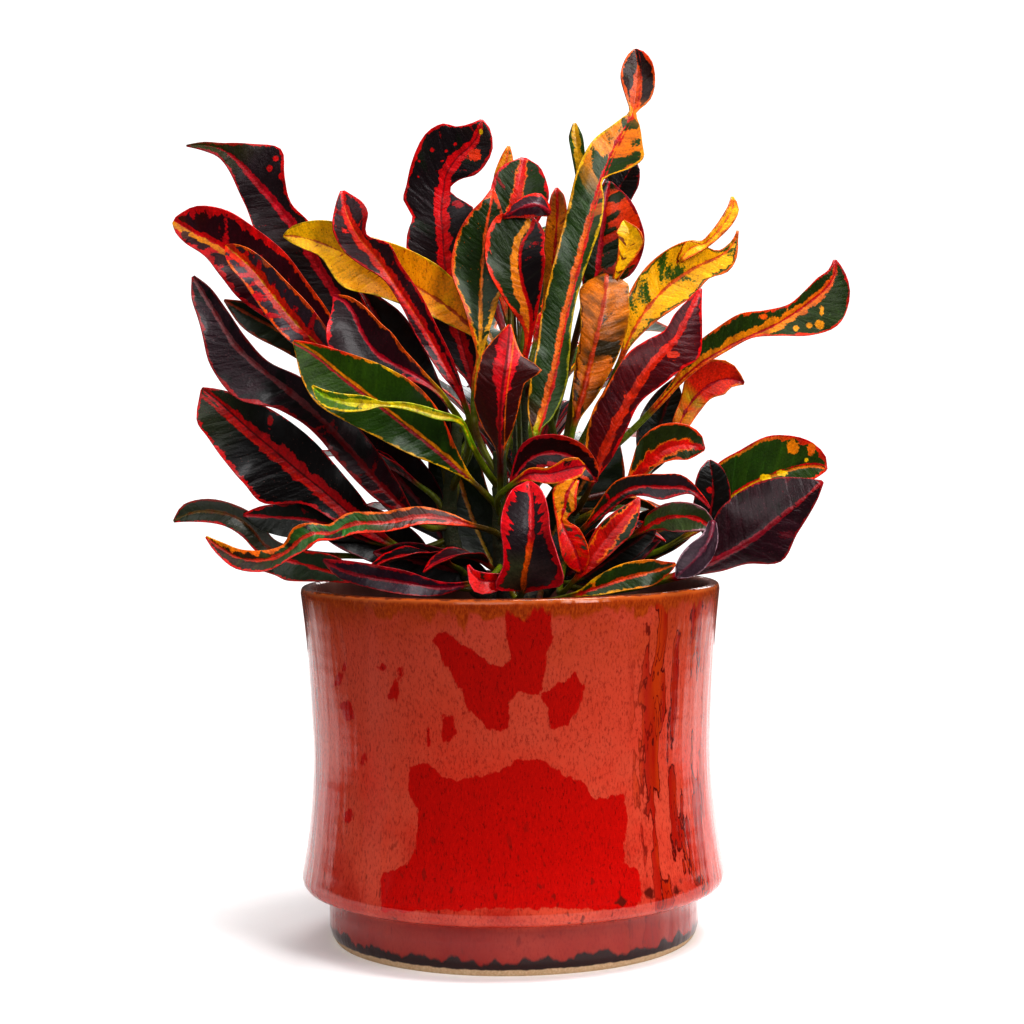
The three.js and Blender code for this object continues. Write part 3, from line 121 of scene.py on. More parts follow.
# The leaves at the front, measured in elevation on the upright plane through the middle of the planter. The
# rows of a leaf run from the stalk to the tip. Each holds x, z, depth y, the half widths left and right of
# the midrib and, where the blade is turned about the midrib, by how many degrees. Before the rows stand the
# branch, whether the underside faces the front, and the fold of the blade in degrees.
FRONT_LEAVES = {
    "edge_red_black": ("left", False, 10, [
        (-36, 196, 6, 1.5, 1.5), (-50, 213, 4, 7, 6), (-62, 232, 2, 11, 8),
        (-74, 252, 0, 13, 6), (-80, 260.5, -1, 12, 4.5), (-85.5, 267, -2, 9, 9),
        (-90.5, 273, -3, 6.8, 14.5), (-95.5, 278.5, -3, 4.5, 8), (-101, 282.5, -4, 3, 2.5),
        (-107, 284, -4, 2, 1.3), (-113.5, 284, -4, 0.3, 0.3),
    ]),
    "broad_wine": ("left", False, 14, [
        (-56, 205, -4, 1.5, 1.5), (-68, 217, -6, 6, 8), (-79, 228, -8, 9, 11),
        (-88, 237, -10, 11, 13), (-97, 245, -12, 9, 12.5), (-105, 250, -13, 6, 12.5),
        (-112, 253.5, -14, 5, 10.5), (-116, 256, -14, 3.5, 7), (-118.5, 257.5, -14, 1, 1.5),
    ]),
    "curled_wine": ("left", False, 26, [
        (-56, 201, -12, 1.5, 1.5), (-66, 211, -14, 5, 6), (-76, 221, -17, 7, 9),
        (-84, 231, -20, 6.5, 8), (-90, 239, -22, 6, 6.5), (-95, 244, -23, 5.5, 5),
        (-98.5, 247, -22, 3, 2.5), (-100, 248.5, -21, 0.5, 0.5),
    ]),
    "amber_left": ("left", False, 12, [
        (-8, 212, -12, 1, 1), (-18, 223, -12, 5, 7), (-29, 231, -13, 7.5, 10.5),
        (-42, 238.5, -14, 10, 10), (-54, 243.5, -14, 11.5, 9), (-64, 248, -14, 5, 9),
        (-71, 250.5, -14, 4, 6.5), (-76.5, 251.5, -14, 2.5, 3.5), (-79.5, 251.5, -14, 0.4, 0.4),
    ]),
    "pinched_wine": ("left", False, 16, [
        (-16, 192, -20, 1, 1), (-22, 204, -21, 3, 3.5), (-29, 217, -22, 4, 4.5),
        (-36, 228, -22, 2.5, 6), (-42, 237, -22, 2.5, 6), (-47, 244, -22, 6, 7),
        (-52, 250, -22, 7.5, 3), (-55.5, 256, -22, 7, 7.5), (-57.5, 262, -21, 3.5, 6.5),
        (-58, 267.3, -20, 0.8, 0.8),
    ]),
    "folded_wine": ("left", False, 24, [
        (-22, 192, -24, 1, 1), (-31, 200, -26, 2, 3), (-40, 205, -27, 7, 7),
        (-47, 209.5, -28, 12, 10), (-51.5, 216, -28, 14, 8.5), (-54.5, 223, -28, 12, 5.5),
        (-58, 228, -27, 7, 2.5), (-62, 230, -26, 0.5, 0.5),
    ]),
    "great_green": ("centre", False, 12, [
        (-14, 164, -30, 1, 1), (-22, 171.5, -32, 4, 5), (-31, 179, -35, 7.5, 11),
        (-41, 187, -38, 10, 14), (-51, 195, -41, 12.5, 12.5), (-60, 202, -43, 13.5, 9),
        (-67, 208, -44, 10.5, 5), (-72, 211.5, -44, 6, 2.5), (-76.5, 214, -44, 0.5, 0.5),
    ]),
    "slim_lime": ("centre", False, 20, [
        (-13, 176, -36, 1, 1), (-17, 184.5, -43, 1, 1), (-26, 187, -47, 1.6, 2),
        (-36, 190, -50, 1.2, 1.8), (-45, 191, -53, 0.9, 1.2), (-52, 191.5, -55, 3, 3),
        (-60, 192.5, -57, 4, 2.8), (-66, 194.5, -58, 3.3, 2.2), (-70, 198, -58, 0.4, 0.4),
    ]),
    "long_plum": ("left", False, 18, [
        (-34, 150, -14, 1.2, 1.2), (-45, 161, -18, 5, 6), (-56, 174, -22, 6, 8),
        (-67, 186, -26, 5.5, 8), (-78, 196, -29, 8, 7), (-88, 204, -31, 14, 4),
        (-97, 212.5, -32, 12, 5), (-103.5, 223, -32, 7, 4.5), (-108.5, 231.5, -31, 4.5, 3.5),
        (-112, 237.5, -30, 0.6, 0.6),
    ]),
    "great_black": ("left", False, 12, [
        (-44, 142, -6, 1.5, 1.5), (-56, 151, -9, 5, 7), (-68, 161.5, -12, 8, 10),
        (-77, 169, -15, 17, 12), (-85, 176, -18, 16, 12), (-92, 182, -20, 14.5, 11),
        (-99, 188.5, -21, 12.5, 8), (-105, 194, -21, 10, 4), (-109.5, 197.5, -20, 0.6, 0.6),
    ]),
    "olive_tip": ("left", False, 22, [
        (-62, 137, 2, 1, 1), (-76, 137, -2, 3, 3), (-87, 140.5, -6, 4, 4),
        (-93, 147.5, -9, 4.5, 5), (-100, 152, -11, 4.5, 4.5), (-108, 153.5, -12, 4.3, 4.8),
        (-115.5, 152.5, -12, 3, 4), (-120.5, 150, -12, 0.4, 0.4),
    ]),
    "low_dark_left": ("left", False, 12, [
        (-50, 142, -2, 1, 1), (-62, 147, -6, 5, 5), (-73, 150, -9, 7, 6.5),
        (-83, 151, -11, 6.5, 5), (-90, 151.5, -12, 4.5, 3.5), (-95.5, 152, -12, 0.5, 0.5),
    ]),
    "ruffled_ribbon": ("centre", False, 14, [
        (-14, 147.5, -40, 1, 1, 20), (-22, 149.5, -43, 2.6, 2.6, 25), (-32, 150.5, -46, 3.7, 3.9, 30),
        (-44, 148.5, -49, 4, 4.2, 30), (-51, 148.5, -50, 4, 4.2, 20), (-57, 148, -51, 4, 4.5, 15),
        (-64, 144.8, -52, 3.7, 3.8, 35), (-70, 145, -53, 4, 4, 30), (-75, 143, -54, 4.5, 5),
        (-80, 138.5, -54, 3, 3, 20), (-88, 135.7, -55, 4.3, 3.6, 10), (-97, 136.5, -55, 4, 3.3),
        (-104, 140.5, -54, 2.5, 2), (-109, 144.3, -53, 0.4, 0.4),
    ]),
    "rim_green_left": ("left", False, 14, [
        (-50, 129, -20, 1, 1), (-58, 130, -21, 3, 4), (-66, 131.5, -22, 4, 6.5),
        (-74, 134, -23, 6.5, 5), (-81, 135.5, -23, 7, 2.5), (-86, 134, -23, 4, 1.5),
        (-89, 132, -22, 0.4, 0.4),
    ]),
    "rim_plum": ("centre", False, 16, [
        (-16, 126, -38, 1, 1), (-26, 125, -44, 3, 2.5), (-38, 127, -48, 4.5, 4.5),
        (-50, 129, -48, 4, 5), (-60, 131.5, -44, 3, 4), (-67, 135.5, -40, 0.5, 0.5),
    ]),
    "lobed_black": ("left", False, 12, [
        (-12, 196, 6, 1.2, 1.2), (-16, 212, 5, 7, 6), (-20, 228, 4, 12, 8),
        (-22, 242, 3, 13.5, 9), (-22.5, 252, 2, 13, 10), (-23, 258, 2, 10.5, 11),
        (-22.7, 262, 2, 14, 11.5), (-22, 267, 2, 13.5, 2.5), (-21, 272.5, 1, 13, 5),
        (-17.5, 278, 0, 14, 9), (-13, 282, -1, 12.5, 9), (-10, 285.5, -2, 8.5, 7),
        (-8.5, 290, -3, 3, 3.5), (-8, 292, -3, 0.6, 0.6),
    ]),
    "orange_edged": ("centre", False, 12, [
        (-12, 197, -22, 0.9, 0.9), (-10, 208, -22, 1.2, 1.2), (-9.5, 216, -22, 3.5, 3),
        (-9.3, 226, -21, 6.5, 6), (-8.8, 237, -20, 11, 8), (-7.8, 248, -20, 10.5, 8),
        (-6.3, 257, -20, 7, 6), (-5, 263, -20, 3, 3), (-4.5, 267.5, -19, 0.5, 0.5),
    ]),
    "round_red": ("centre", False, 14, [
        (1, 238, -9, 1, 1), (0.5, 248, -9, 5, 6), (2, 257, -9, 8, 10), (4.5, 266, -9, 10, 11.5),
        (6, 272.5, -8, 8.5, 8.5), (6.5, 276, -7, 5, 5.5), (6.8, 278.3, -7, 1, 1),
    ]),
    "small_orange_tip": ("rear", False, 14, [
        (0, 250, -3, 1, 1), (-1, 262, -3, 2, 2), (-1.5, 270, -3, 2.8, 2.8),
        (0.5, 277, -3, 2.6, 2.6), (1.5, 282.5, -3, 0.5, 0.5),
    ]),
    "heart_green": ("centre", False, 20, [
        (6, 206, -20, 1, 1), (8, 216, -22, 2, 1.5), (8, 224, -24, 6, 3.5),
        (5.5, 233, -26, 9, 8), (4.5, 241, -27, 12.5, 10), (5.5, 248, -27, 13.5, 9),
        (9, 253.5, -26, 12, 5.5), (9.5, 257, -26, 0.8, 0.8),
    ]),
    "heart_flap": ("centre", True, 14, [
        (15.5, 258.5, -26.5, 1.5, 1.5), (12, 261.3, -29, 4.4, 4.4), (7, 261, -30, 4.3, 3.6),
        (2.5, 259, -30, 2.2, 1.8), (-1, 257, -29, 0.5, 0.5),
    ]),
    "narrow_amber": ("right", False, 14, [
        (14, 215, -4, 1, 1), (16, 230, -4, 3, 3), (17, 242, -4, 3.5, 3), (18, 252, -4, 4, 4),
        (18.5, 260, -4, 3.2, 3.4), (18.5, 265, -4, 2.2, 2.4), (18.3, 267.5, -4, 0.5, 0.5),
    ]),
    "tall_twisted": ("right", False, 16, [
        (10, 180, -22, 1.5, 1.5), (12, 187, -21, 5.5, 4.5), (15, 197, -20, 7.5, 6),
        (17.5, 208, -19, 7.5, 5), (20, 220, -18, 8.3, 3.5), (23, 232, -17, 8.5, 3.2),
        (26.3, 244, -16, 8.5, 4), (29.3, 255, -15, 8.5, 5), (32, 264, -14, 9, 3.5),
        (34.3, 270.5, -13, 9.5, 0.8), (36.5, 276, -12, 9, 8), (38.7, 281, -11, 8, 11.5),
        (41.3, 286, -10, 5, 9), (44.3, 291, -9, 2.5, 4.5), (45.8, 294, -8, 1.3, 1.3),
        (46.8, 299, -7, 4, 5.5), (47.6, 305, -6, 6.4, 6.4), (47.7, 311, -6, 5.6, 5.2),
        (47, 314.8, -6, 2.8, 3), (46.8, 316.3, -6, 0.6, 0.6),
    ]),
    "slim_tip": ("rear", False, 18, [
        (27, 262, 4, 1.2, 1.2), (27, 272, 4, 2, 2), (26, 281, 4, 2.6, 2.4),
        (25.3, 286, 4, 2.5, 2.4), (25, 290.3, 4, 0.6, 0.6),
    ]),
    "rounded_flame": ("right", False, 14, [
        (29, 222, -6, 1, 1), (31, 232, -6, 4, 4), (32.5, 238, -7, 6, 12),
        (33.5, 245, -7, 7, 15.5), (34.5, 252, -7, 7, 15.3), (35.3, 259, -7, 6, 12),
        (36.2, 265, -6, 4, 7.5), (37.2, 269.5, -5, 1, 1),
    ]),
    "black_disc": ("rear", False, 14, [
        (33, 245, 2, 1, 1), (36, 256, 2, 5, 5), (40, 266, 2, 6, 6), (43, 271, 2, 5.5, 5.5),
        (45.5, 275, 2, 3, 3), (46.5, 277, 2, 0.5, 0.5),
    ]),
    "gold_curl": ("right", False, 26, [
        (38.5, 234, -12, 0.8, 0.8), (40.5, 239, -13, 1.5, 2.5), (42.5, 244, -13, 3, 4.5),
        (44, 249, -13, 4.5, 5.8), (44, 252.5, -13, 5.5, 3), (42.5, 254.8, -13, 2.5, 1),
        (42, 255.6, -13, 0.5, 0.5),
    ]),
    "amber_back": ("right", True, 14, [
        (24, 184, -18, 1.2, 1.2), (27, 194, -18, 4, 5), (29.5, 204, -17, 5.5, 8),
        (32, 214, -17, 6, 10), (34, 223, -16, 8, 10.5), (35.3, 230, -15, 9.5, 9),
        (35.8, 234.5, -13, 6.5, 8), (36, 236.5, -11, 2, 3),
    ]),
    "gold_green": ("right", False, 16, [
        (40.5, 206, -9, 0.8, 0.8), (44, 214, -9, 3, 2.5), (49, 222.5, -9, 8, 5.5),
        (55.5, 230, -8, 10.5, 8), (62.5, 235.5, -7, 11, 8.5), (69.5, 239.5, -6, 9.5, 6),
        (75.5, 242, -5, 3, 6.5), (79.5, 244.8, -4, 1.5, 4), (82, 248.5, -4, 0.8, 1),
        (82.8, 251.5, -4, 0.4, 0.4),
    ]),
    "gold_fork": ("right", False, 16, [
        (62, 241, -9, 1, 1), (66, 245.5, -9, 3, 3), (70.5, 246.8, -8, 1.5, 1.8),
        (74.5, 250, -8, 1.8, 2), (78.5, 255, -7, 2, 2.8), (81, 259.5, -6, 1.8, 2.5),
        (81, 263.5, -5, 0.5, 0.5),
    ]),
    "rose_rib": ("right", True, 12, [
        (30, 163, -20, 1.2, 1.2), (34, 173, -22, 7, 4), (38.5, 183, -24, 9.5, 4.5),
        (44, 192.5, -25, 9.5, 4), (50, 202, -26, 9.5, 8), (55.5, 208, -26, 7.5, 9),
        (60.5, 213.5, -25, 5, 11), (64, 220, -24, 4.5, 7), (67, 226, -23, 2.5, 3.2),
        (69.5, 231, -22, 0.5, 0.5),
    ]),
    "arching_right": ("right", False, 12, [
        (52, 188, -2, 1.2, 1.2), (62, 198.5, -3, 2.5, 1.2), (70, 204.8, -4, 6.5, 1.2),
        (78, 209.5, -4, 8, 1.2), (87, 213.8, -5, 9, 0.8), (95, 217.3, -5, 6.5, 4),
        (103, 222, -5, 3.8, 10), (110, 227, -5, 4.5, 13), (115, 231.5, -5, 4.8, 9.5),
        (117.5, 236.5, -5, 2.5, 3.8), (117.5, 240.7, -5, 0.6, 0.6),
    ]),
    "red_hook": ("right", False, 14, [
        (58, 176, 5, 1, 1), (61.5, 183, 5, 3, 3.5), (65, 189.5, 6, 4, 4.5),
        (70, 195, 6, 8.5, 4.5), (76, 198.3, 6, 8, 5.5), (80.5, 198.5, 6, 5, 3),
        (84.7, 197, 6, 0.5, 0.5),
    ]),
    "shade_right": ("right", False, 14, [
        (48, 164, 12, 1.5, 1.5), (52, 174, 14, 7, 7), (55, 184, 15, 8, 8), (58, 193, 15, 5, 5),
        (60, 199, 14, 0.6, 0.6),
    ]),
    "red_spear": ("right", False, 12, [
        (42, 160, -22, 1.5, 1.5), (47, 166, -24, 4, 2.5), (52, 171, -26, 8, 3.5),
        (58, 174.5, -27, 9, 5), (64, 175.5, -27, 7, 5.8), (68, 174.5, -26, 4, 3.5),
        (70.3, 173.5, -25, 0.6, 0.6),
    ]),
    "great_right": ("right", False, 12, [
        (64, 143, -8, 1.2, 1.2), (73, 151, -10, 7, 4), (81, 157, -11, 13, 6),
        (89, 161.5, -12, 13.5, 7), (97, 164.5, -12, 14.5, 7), (104, 166.5, -12, 12, 6.5),
        (109, 167, -12, 8.5, 5), (112.5, 166.5, -12, 4, 3), (114, 165.5, -12, 0.5, 0.5),
    ]),
    "veined_plum": ("right", True, 12, [
        (58, 127.5, -28, 1.5, 1.5), (66, 130.5, -30, 3, 2.5), (74, 134, -31, 8, 5),
        (82, 138, -32, 15, 7), (90, 143, -33, 16.5, 13), (98, 149.5, -33, 15, 9),
        (104.5, 154.5, -32, 11.5, 6), (109, 158.5, -31, 6, 3.5), (112.5, 161.5, -30, 0.6, 0.6),
    ]),
    "black_oval": ("right", False, 14, [
        (70, 140, -14, 1.2, 1.2), (71.5, 148, -16, 6.5, 6), (73, 156, -17, 6.8, 6.7),
        (73, 163, -18, 6.3, 5.5), (72.3, 167.5, -18, 3.6, 3.6), (72, 169.7, -18, 0.6, 0.6),
    ]),
    "scroll_inner": ("right", False, 22, [
        (46, 144, -38, 1, 1), (52, 147.5, -41, 4.2, 3), (58, 149.5, -44, 5.5, 5.8),
        (64, 149.5, -46, 5.5, 6), (69, 148, -48, 4.5, 5), (72.5, 145, -50, 2, 2),
        (73.5, 143, -51, 0.5, 0.5),
    ]),
    "scroll_outer": ("right", True, 14, [
        (73, 147.5, -50, 1.5, 1.5), (72, 142, -53, 3.5, 3), (69, 137, -55, 4.8, 4.8),
        (65, 132.5, -56, 4.8, 4.8), (61.5, 129.5, -56, 3, 3), (59.7, 127.6, -56, 0.5, 0.5),
    ]),
    "red_green_right": ("right", False, 14, [
        (28, 147, -32, 1, 1), (34, 153, -34, 3, 2.5), (41, 158.5, -36, 5, 2.5),
        (48, 160.5, -37, 4.5, 3.5), (55, 160, -38, 5, 4.5), (61, 160, -38, 4.8, 3),
        (66, 158.5, -38, 2.2, 1.2), (70.5, 154.5, -37, 0.9, 0.8), (72, 152.5, -37, 0.4, 0.4),
    ]),
    "red_heart_right": ("right", False, 12, [
        (24, 128, -42, 1, 1), (29, 135, -43, 3, 4), (34.5, 142, -43, 5, 5.5),
        (39.5, 147.5, -43, 4.5, 6), (44, 152.5, -42, 2.5, 3.5), (46.8, 156.5, -41, 0.5, 0.5),
    ]),
    "rim_green_right": ("right", False, 14, [
        (24, 122, -47, 1, 1), (32, 124.5, -49, 4, 3), (41, 127.5, -49, 5.5, 4.5),
        (50, 129.5, -47, 5, 5), (56, 131, -44, 2.5, 2.5), (59.5, 132.5, -42, 0.5, 0.5),
    ]),
    "low_black_right": ("right", False, 14, [
        (26, 128, -26, 1, 1), (34, 133, -28, 3.5, 4), (42, 138.5, -30, 4, 5),
        (49, 143.5, -30, 3.5, 3.5), (53, 147.5, -30, 0.6, 0.6),
    ]),
    "front_spoon": ("centre", False, 34, [
        (4.5, 124, -46, 2, 2), (5, 128, -50, 12, 9), (5.8, 132.5, -52, 10, 17),
        (7, 138, -53, 11.5, 13), (7.8, 144, -53, 13.5, 8.5), (8, 150, -52, 13, 7.5),
        (8, 156, -50, 10, 6), (7.5, 160, -48, 6, 4), (7.3, 162.8, -47, 0.8, 0.8),
    ]),
    "front_spoon_lobe": ("centre", False, 20, [
        (0, 127.5, -49.6, 2, 2.5), (-7, 127, -53, 4.5, 3.2), (-11, 127.5, -54, 4.8, 3.5),
        (-14, 130.5, -53, 1.5, 1.5), (-15, 133, -52, 0.5, 0.5),
    ]),
    "red_collar": ("centre", False, 20, [
        (3, 163, -40, 1, 1), (8, 165.5, -42, 2.3, 3), (15, 165.5, -43, 2.3, 4),
        (21, 167, -44, 4.2, 4.5), (25.5, 167.8, -44, 3.5, 3.5), (27.5, 168, -44, 0.8, 0.8),
    ]),
    "hanging_twist": ("centre", False, 16, [
        (24, 163.5, -45, 1.5, 1.5), (21, 158.5, -46, 3.5, 5.5), (20, 153.5, -46, 4.2, 4.5),
        (18.7, 149, -46, 2, 2), (20.5, 144, -46, 5, 3.5), (23.5, 138, -46, 5, 5.5),
        (25, 133, -45, 3.5, 4), (25.8, 129.8, -44, 0.6, 0.6),
    ]),
    "plum_arch": ("centre", False, 18, [
        (0, 158, -34, 1, 1), (2.5, 165, -35, 2, 4), (8.5, 171.3, -36, 6.5, 5),
        (16, 173, -37, 7, 5), (24, 170.8, -37, 6, 5), (29, 166, -37, 4, 4),
        (31.5, 162.3, -36, 0.6, 0.6),
    ]),
    "crimson_rib": ("centre", True, 14, [
        (-3, 174, -32, 1.5, 1.5), (-3, 182, -35, 6.5, 5), (-2.5, 191, -37, 10, 7),
        (-1.5, 199, -38, 10, 8), (-0.5, 205, -38, 9.5, 13.5), (0, 208.5, -37, 9, 6),
        (0.5, 213, -36, 6, 3), (1, 219, -35, 0.6, 0.6),
    ]),
    "crown_low_left": ("left", False, 14, [
        (-26, 131, 4, 1, 1), (-36, 138, 2, 8, 7), (-49, 145, 0, 10, 9), (-63, 150, -2, 8, 7),
        (-74, 153, -3, 0.4, 0.4),
    ]),
    "crown_left": ("left", False, 14, [
        (-24, 142, 7, 1, 1), (-31, 154, 8, 9, 9), (-42, 167, 9, 11, 11), (-54, 179, 9, 8, 8),
        (-63, 189, 9, 0.4, 0.4),
    ]),
    "crown_upper_left": ("left", False, 14, [
        (-21, 170, 6, 1, 1), (-28, 184, 8, 7, 8), (-36, 202, 10, 9, 10), (-45, 219, 12, 8, 9),
        (-53, 234, 13, 0.4, 0.4),
    ]),
    "crown_far_left": ("left", False, 12, [
        (-34, 185, 4, 1, 1), (-54, 201, 4, 6, 6), (-76, 215, 3, 6, 6), (-91, 223, 2, 5.5, 5),
        (-101, 229, 2, 0.4, 0.4),
    ]),
    "crown_mid_left": ("centre", False, 14, [
        (-6, 133, 4, 1, 1), (-11, 144, 6, 9, 8), (-16, 158, 8, 11, 9), (-20, 174, 10, 9, 8),
        (-23, 190, 11, 0.4, 0.4),
    ]),
    "crown_mid_right": ("centre", False, 14, [
        (8, 132, 3, 1, 1), (15, 143, 4, 8, 9), (23, 156, 6, 9, 13), (31, 169, 8, 8, 12),
        (38, 183, 9, 0.4, 0.4),
    ]),
    "crown_low_right": ("right", False, 14, [
        (27, 131, 2, 1, 1), (37, 137, 0, 7, 8), (50, 143, -2, 9, 9), (62, 148, -4, 7, 7),
        (71, 152, -5, 0.4, 0.4),
    ]),
    "crown_foot_left": ("centre", False, 14, [
        (-6, 127, -6, 1, 1), (-15, 130, -8, 6, 6), (-27, 133, -10, 7.5, 7),
        (-39, 136, -12, 6, 6), (-49, 138, -13, 0.4, 0.4),
    ]),
    "crown_foot_right": ("centre", False, 14, [
        (9, 126, -7, 1, 1), (21, 130, -9, 6, 6), (33, 135, -11, 7, 7.5), (45, 139, -13, 6, 6),
        (55, 142, -14, 0.4, 0.4),
    ]),
}

# Side lobes that grow from the blade beside them and have no stalk of their own
LOBES = {"heart_flap", "gold_fork", "gold_curl", "scroll_outer", "front_spoon_lobe", "hanging_twist"}

# Leaves inside the crown and behind it: branch, direction from +X in degrees, height where the stalk leaves
# the stem, reach, tip height, half width, whether the blade has a narrow waist, and its pattern
ARCHED_LEAVES = {
    "rear_1": ("rear", 90, 190, 70, 258, 9, False, "gold"),
    "rear_2": ("rear", 60, 185, 60, 246, 9.5, True, "scarlet"),
    "rear_3": ("rear", 118, 188, 66, 250, 9.5, False, "wine"),
    "rear_4": ("rear", 35, 170, 76, 217, 10, False, "moss"),
    "rear_5": ("rear", 145, 168, 78, 217, 10.5, False, "flame"),
    "rear_6": ("rear", 75, 165, 84, 212, 10.5, False, "black"),
    "rear_7": ("rear", 105, 168, 86, 222, 10.5, True, "moss"),
    "rear_8": ("rear", 14, 160, 66, 200, 9.5, False, "wine"),
    "rear_9": ("rear", 165, 160, 76, 204, 9.5, True, "scarlet"),
    "rear_10": ("rear", 50, 150, 84, 176, 10.5, False, "flame"),
    "rear_11": ("rear", 130, 150, 86, 182, 10.5, False, "black"),
    "rear_12": ("rear", 90, 145, 88, 168, 10.5, True, "wine"),
    "rear_13": ("rear", 30, 138, 76, 146, 9.5, False, "moss"),
    "rear_14": ("rear", 150, 138, 80, 148, 9.5, False, "wine"),
    "rear_15": ("rear", 68, 130, 76, 138, 9.5, False, "scarlet"),
    "rear_16": ("rear", 110, 130, 78, 140, 9.5, True, "flame"),
    "rear_17": ("rear", 75, 196, 40, 256, 7.5, False, "moss"),
    "rear_18": ("rear", 125, 194, 44, 256, 7.5, False, "gold"),
    "rear_19": ("rear", 125, 130, 40, 196, 11, False, "black"),
    "rear_20": ("rear", 55, 130, 42, 190, 11, False, "black"),
    "rear_21": ("rear", 90, 128, 38, 186, 11, False, "wine"),
    "inner_1": ("left", 176, 150, 58, 170, 10, False, "black"),
    "inner_2": ("left", 215, 128, 44, 133, 8, False, "black"),
    "inner_3": ("left", 160, 165, 52, 200, 9, False, "wine"),
    "inner_4": ("right", 335, 132, 40, 142, 8.5, False, "black"),
    "inner_5": ("right", 352, 146, 34, 150, 7.5, False, "moss"),
    "inner_6": ("centre", 215, 128, 34, 133, 7.5, False, "wine"),
}
# Half widths along a blade, as shares of the widest, and where on the arch the blade starts
ARCH_PLAIN = (0.12, 0.55, 0.9, 1, 0.88, 0.55, 0.06)
ARCH_WAISTED = (0.12, 0.7, 1, 0.45, 0.85, 0.75, 0.06)
ARCH_BLADE_START = 0.24
ARCH_LIFT = 12
ARCH_BEND_AT = 0.4
ARCH_FOLD = 16
ARCH_FACES_UP = 0.6
ARCH_FACES_IN = 0.8
# How far the waves of one leaf run ahead of those of the leaf before it, in radians
FRONT_PHASE = 2.4
ARCH_PHASE = 1.7

# Leaf colours
BLACK = "0b0708"
CHARCOAL = "2c1c20"
WINE = "40121c"
PLUM = "4a1c28"
GREEN = "2c4f0a"
DARK_GREEN = "202f0a"
OLIVE = "44441c"
LIME = "8ec43c"
YELLOW = "f4c818"
AMBER = "f2a40c"
ORANGE = "f07a14"
CORAL = "f04a2c"
RED = "dc1e22"
CRIMSON = "ba1226"
DEEP_RED = "9a1a20"
RIB_SHADE = "7a1418"
MARGIN_SHADE = "5a1418"
STALK_GREEN = "6f7c26"
STALK_RED = "5c2420"
STALK_SPECKS = "2c2a14"
# What the underside of a blade is blended with, by which face is seen at the front, and by how much
UNDERSIDE = "3c3a26"
WINE_UNDERSIDE = "4a2c2c"
UNDERSIDE_SHARE = 0.42

# Stem colours, kept dark as painted shade, soil colours, and the shares of soil crumbs that are bark and
# white grains
SHADED_OLD_WOOD = "1e150d"
SHADED_YOUNG_WOOD = "343f12"
WOOD_FLECKS = "43381f"
LEAF_SCARS = "50471f"
PEAT = "1c130d"
BROWN_PEAT = "35251a"
DAMP_PEAT = "0d0906"
BARK = "5d4128"
WHITE_GRAIN = "c9c2b4"
BARK_SHARE = 0.18
WHITE_SHARE = 0.035

# Leaf surface: richer and a little deeper than the listed colours, with a thin wax coat. The relief, the
# bands and the side veins are in millimetres.
LEAF_GAMMA = 1.08
LEAF_RICHNESS = 1.2
LEAF_SPECULAR = 0.3
LEAF_COAT = 0.16
LEAF_COAT_ROUGHNESS = 0.14
LEAF_ROUGHNESS = 0.38
LEAF_RELIEF = 0.34
WIDEST_BAND = 20
VEIN_SLANT = 0.6
VEIN_SPACING = 5.4
VEIN_WANDER = 4.0
VEIN_STRENGTH = 0.42
DOT_STRENGTH = 0.7
# Markings are drawn out along the side veins: their size across them as a share of that along them
ACROSS_VEINS = 0.45
# How far two noises move a line whose raggedness is 1
COARSE_FRAY = 3.8
FINE_FRAY = 1.9
# Steps from leaf to leaf through the noises along the side veins, on the whole blade and along the stalk
VEIN_SEED = 17.0
BLADE_SEED = 31.0
STALK_SEED = 7.0
# Along the midrib from the foot of the blade: where the stalk's colour starts and where it is full
STALK_STARTS = (1.5, -2.5)

# Stems and soil: the heights between which old wood turns into young wood, roughness, and relief in
# millimetres
WOOD_TURNS = (122, 160)
STEM_ROUGHNESS = 0.68
STEM_RELIEF = 0.5
SOIL_ROUGHNESS = 0.92
SOIL_RELIEF = 0.9

# Studio
FLOOR_GLOW = 0.12
FLOOR_ROUGHNESS = 0.85
FLOOR_RELIEF = 0.02
FLOOR_GREY = "eeeeee"
FLOOR_WHITE = "f2f2f2"
FLOOR_RADIUS = 580
FLOOR_BACK = 420
FLOOR_SIDES = 128
# Light from the sky near the horizon and overhead, and the heights between which it grows
DOME_LOW = 0.06
DOME_HIGH = 0.5
DOME_FROM = 0.05
DOME_TO = 0.7
# Lights: place and size in metres, power in watts
LIGHTS = {
    "overhead": ((0.42, -0.1, 1.45), (0.7, 0.7), 20),
    "key": ((0.8, -0.95, 0.75), (0.35, 0.8), 9),
    "front": ((-0.35, -1.6, 0.9), (1.1, 0.7), 7),
    "left_strip": ((-0.95, -0.2, 0.35), (0.3, 1.0), 0.2),
    "behind": ((0.3, 1.2, 0.9), (0.8, 0.8), 8),
}
LIT_PLACE = (0, 0, 0.15)
VIEW_GAMMA = 0.8
VIEW_EXPOSURE = 0.25
FARTHEST_SEEN = 100

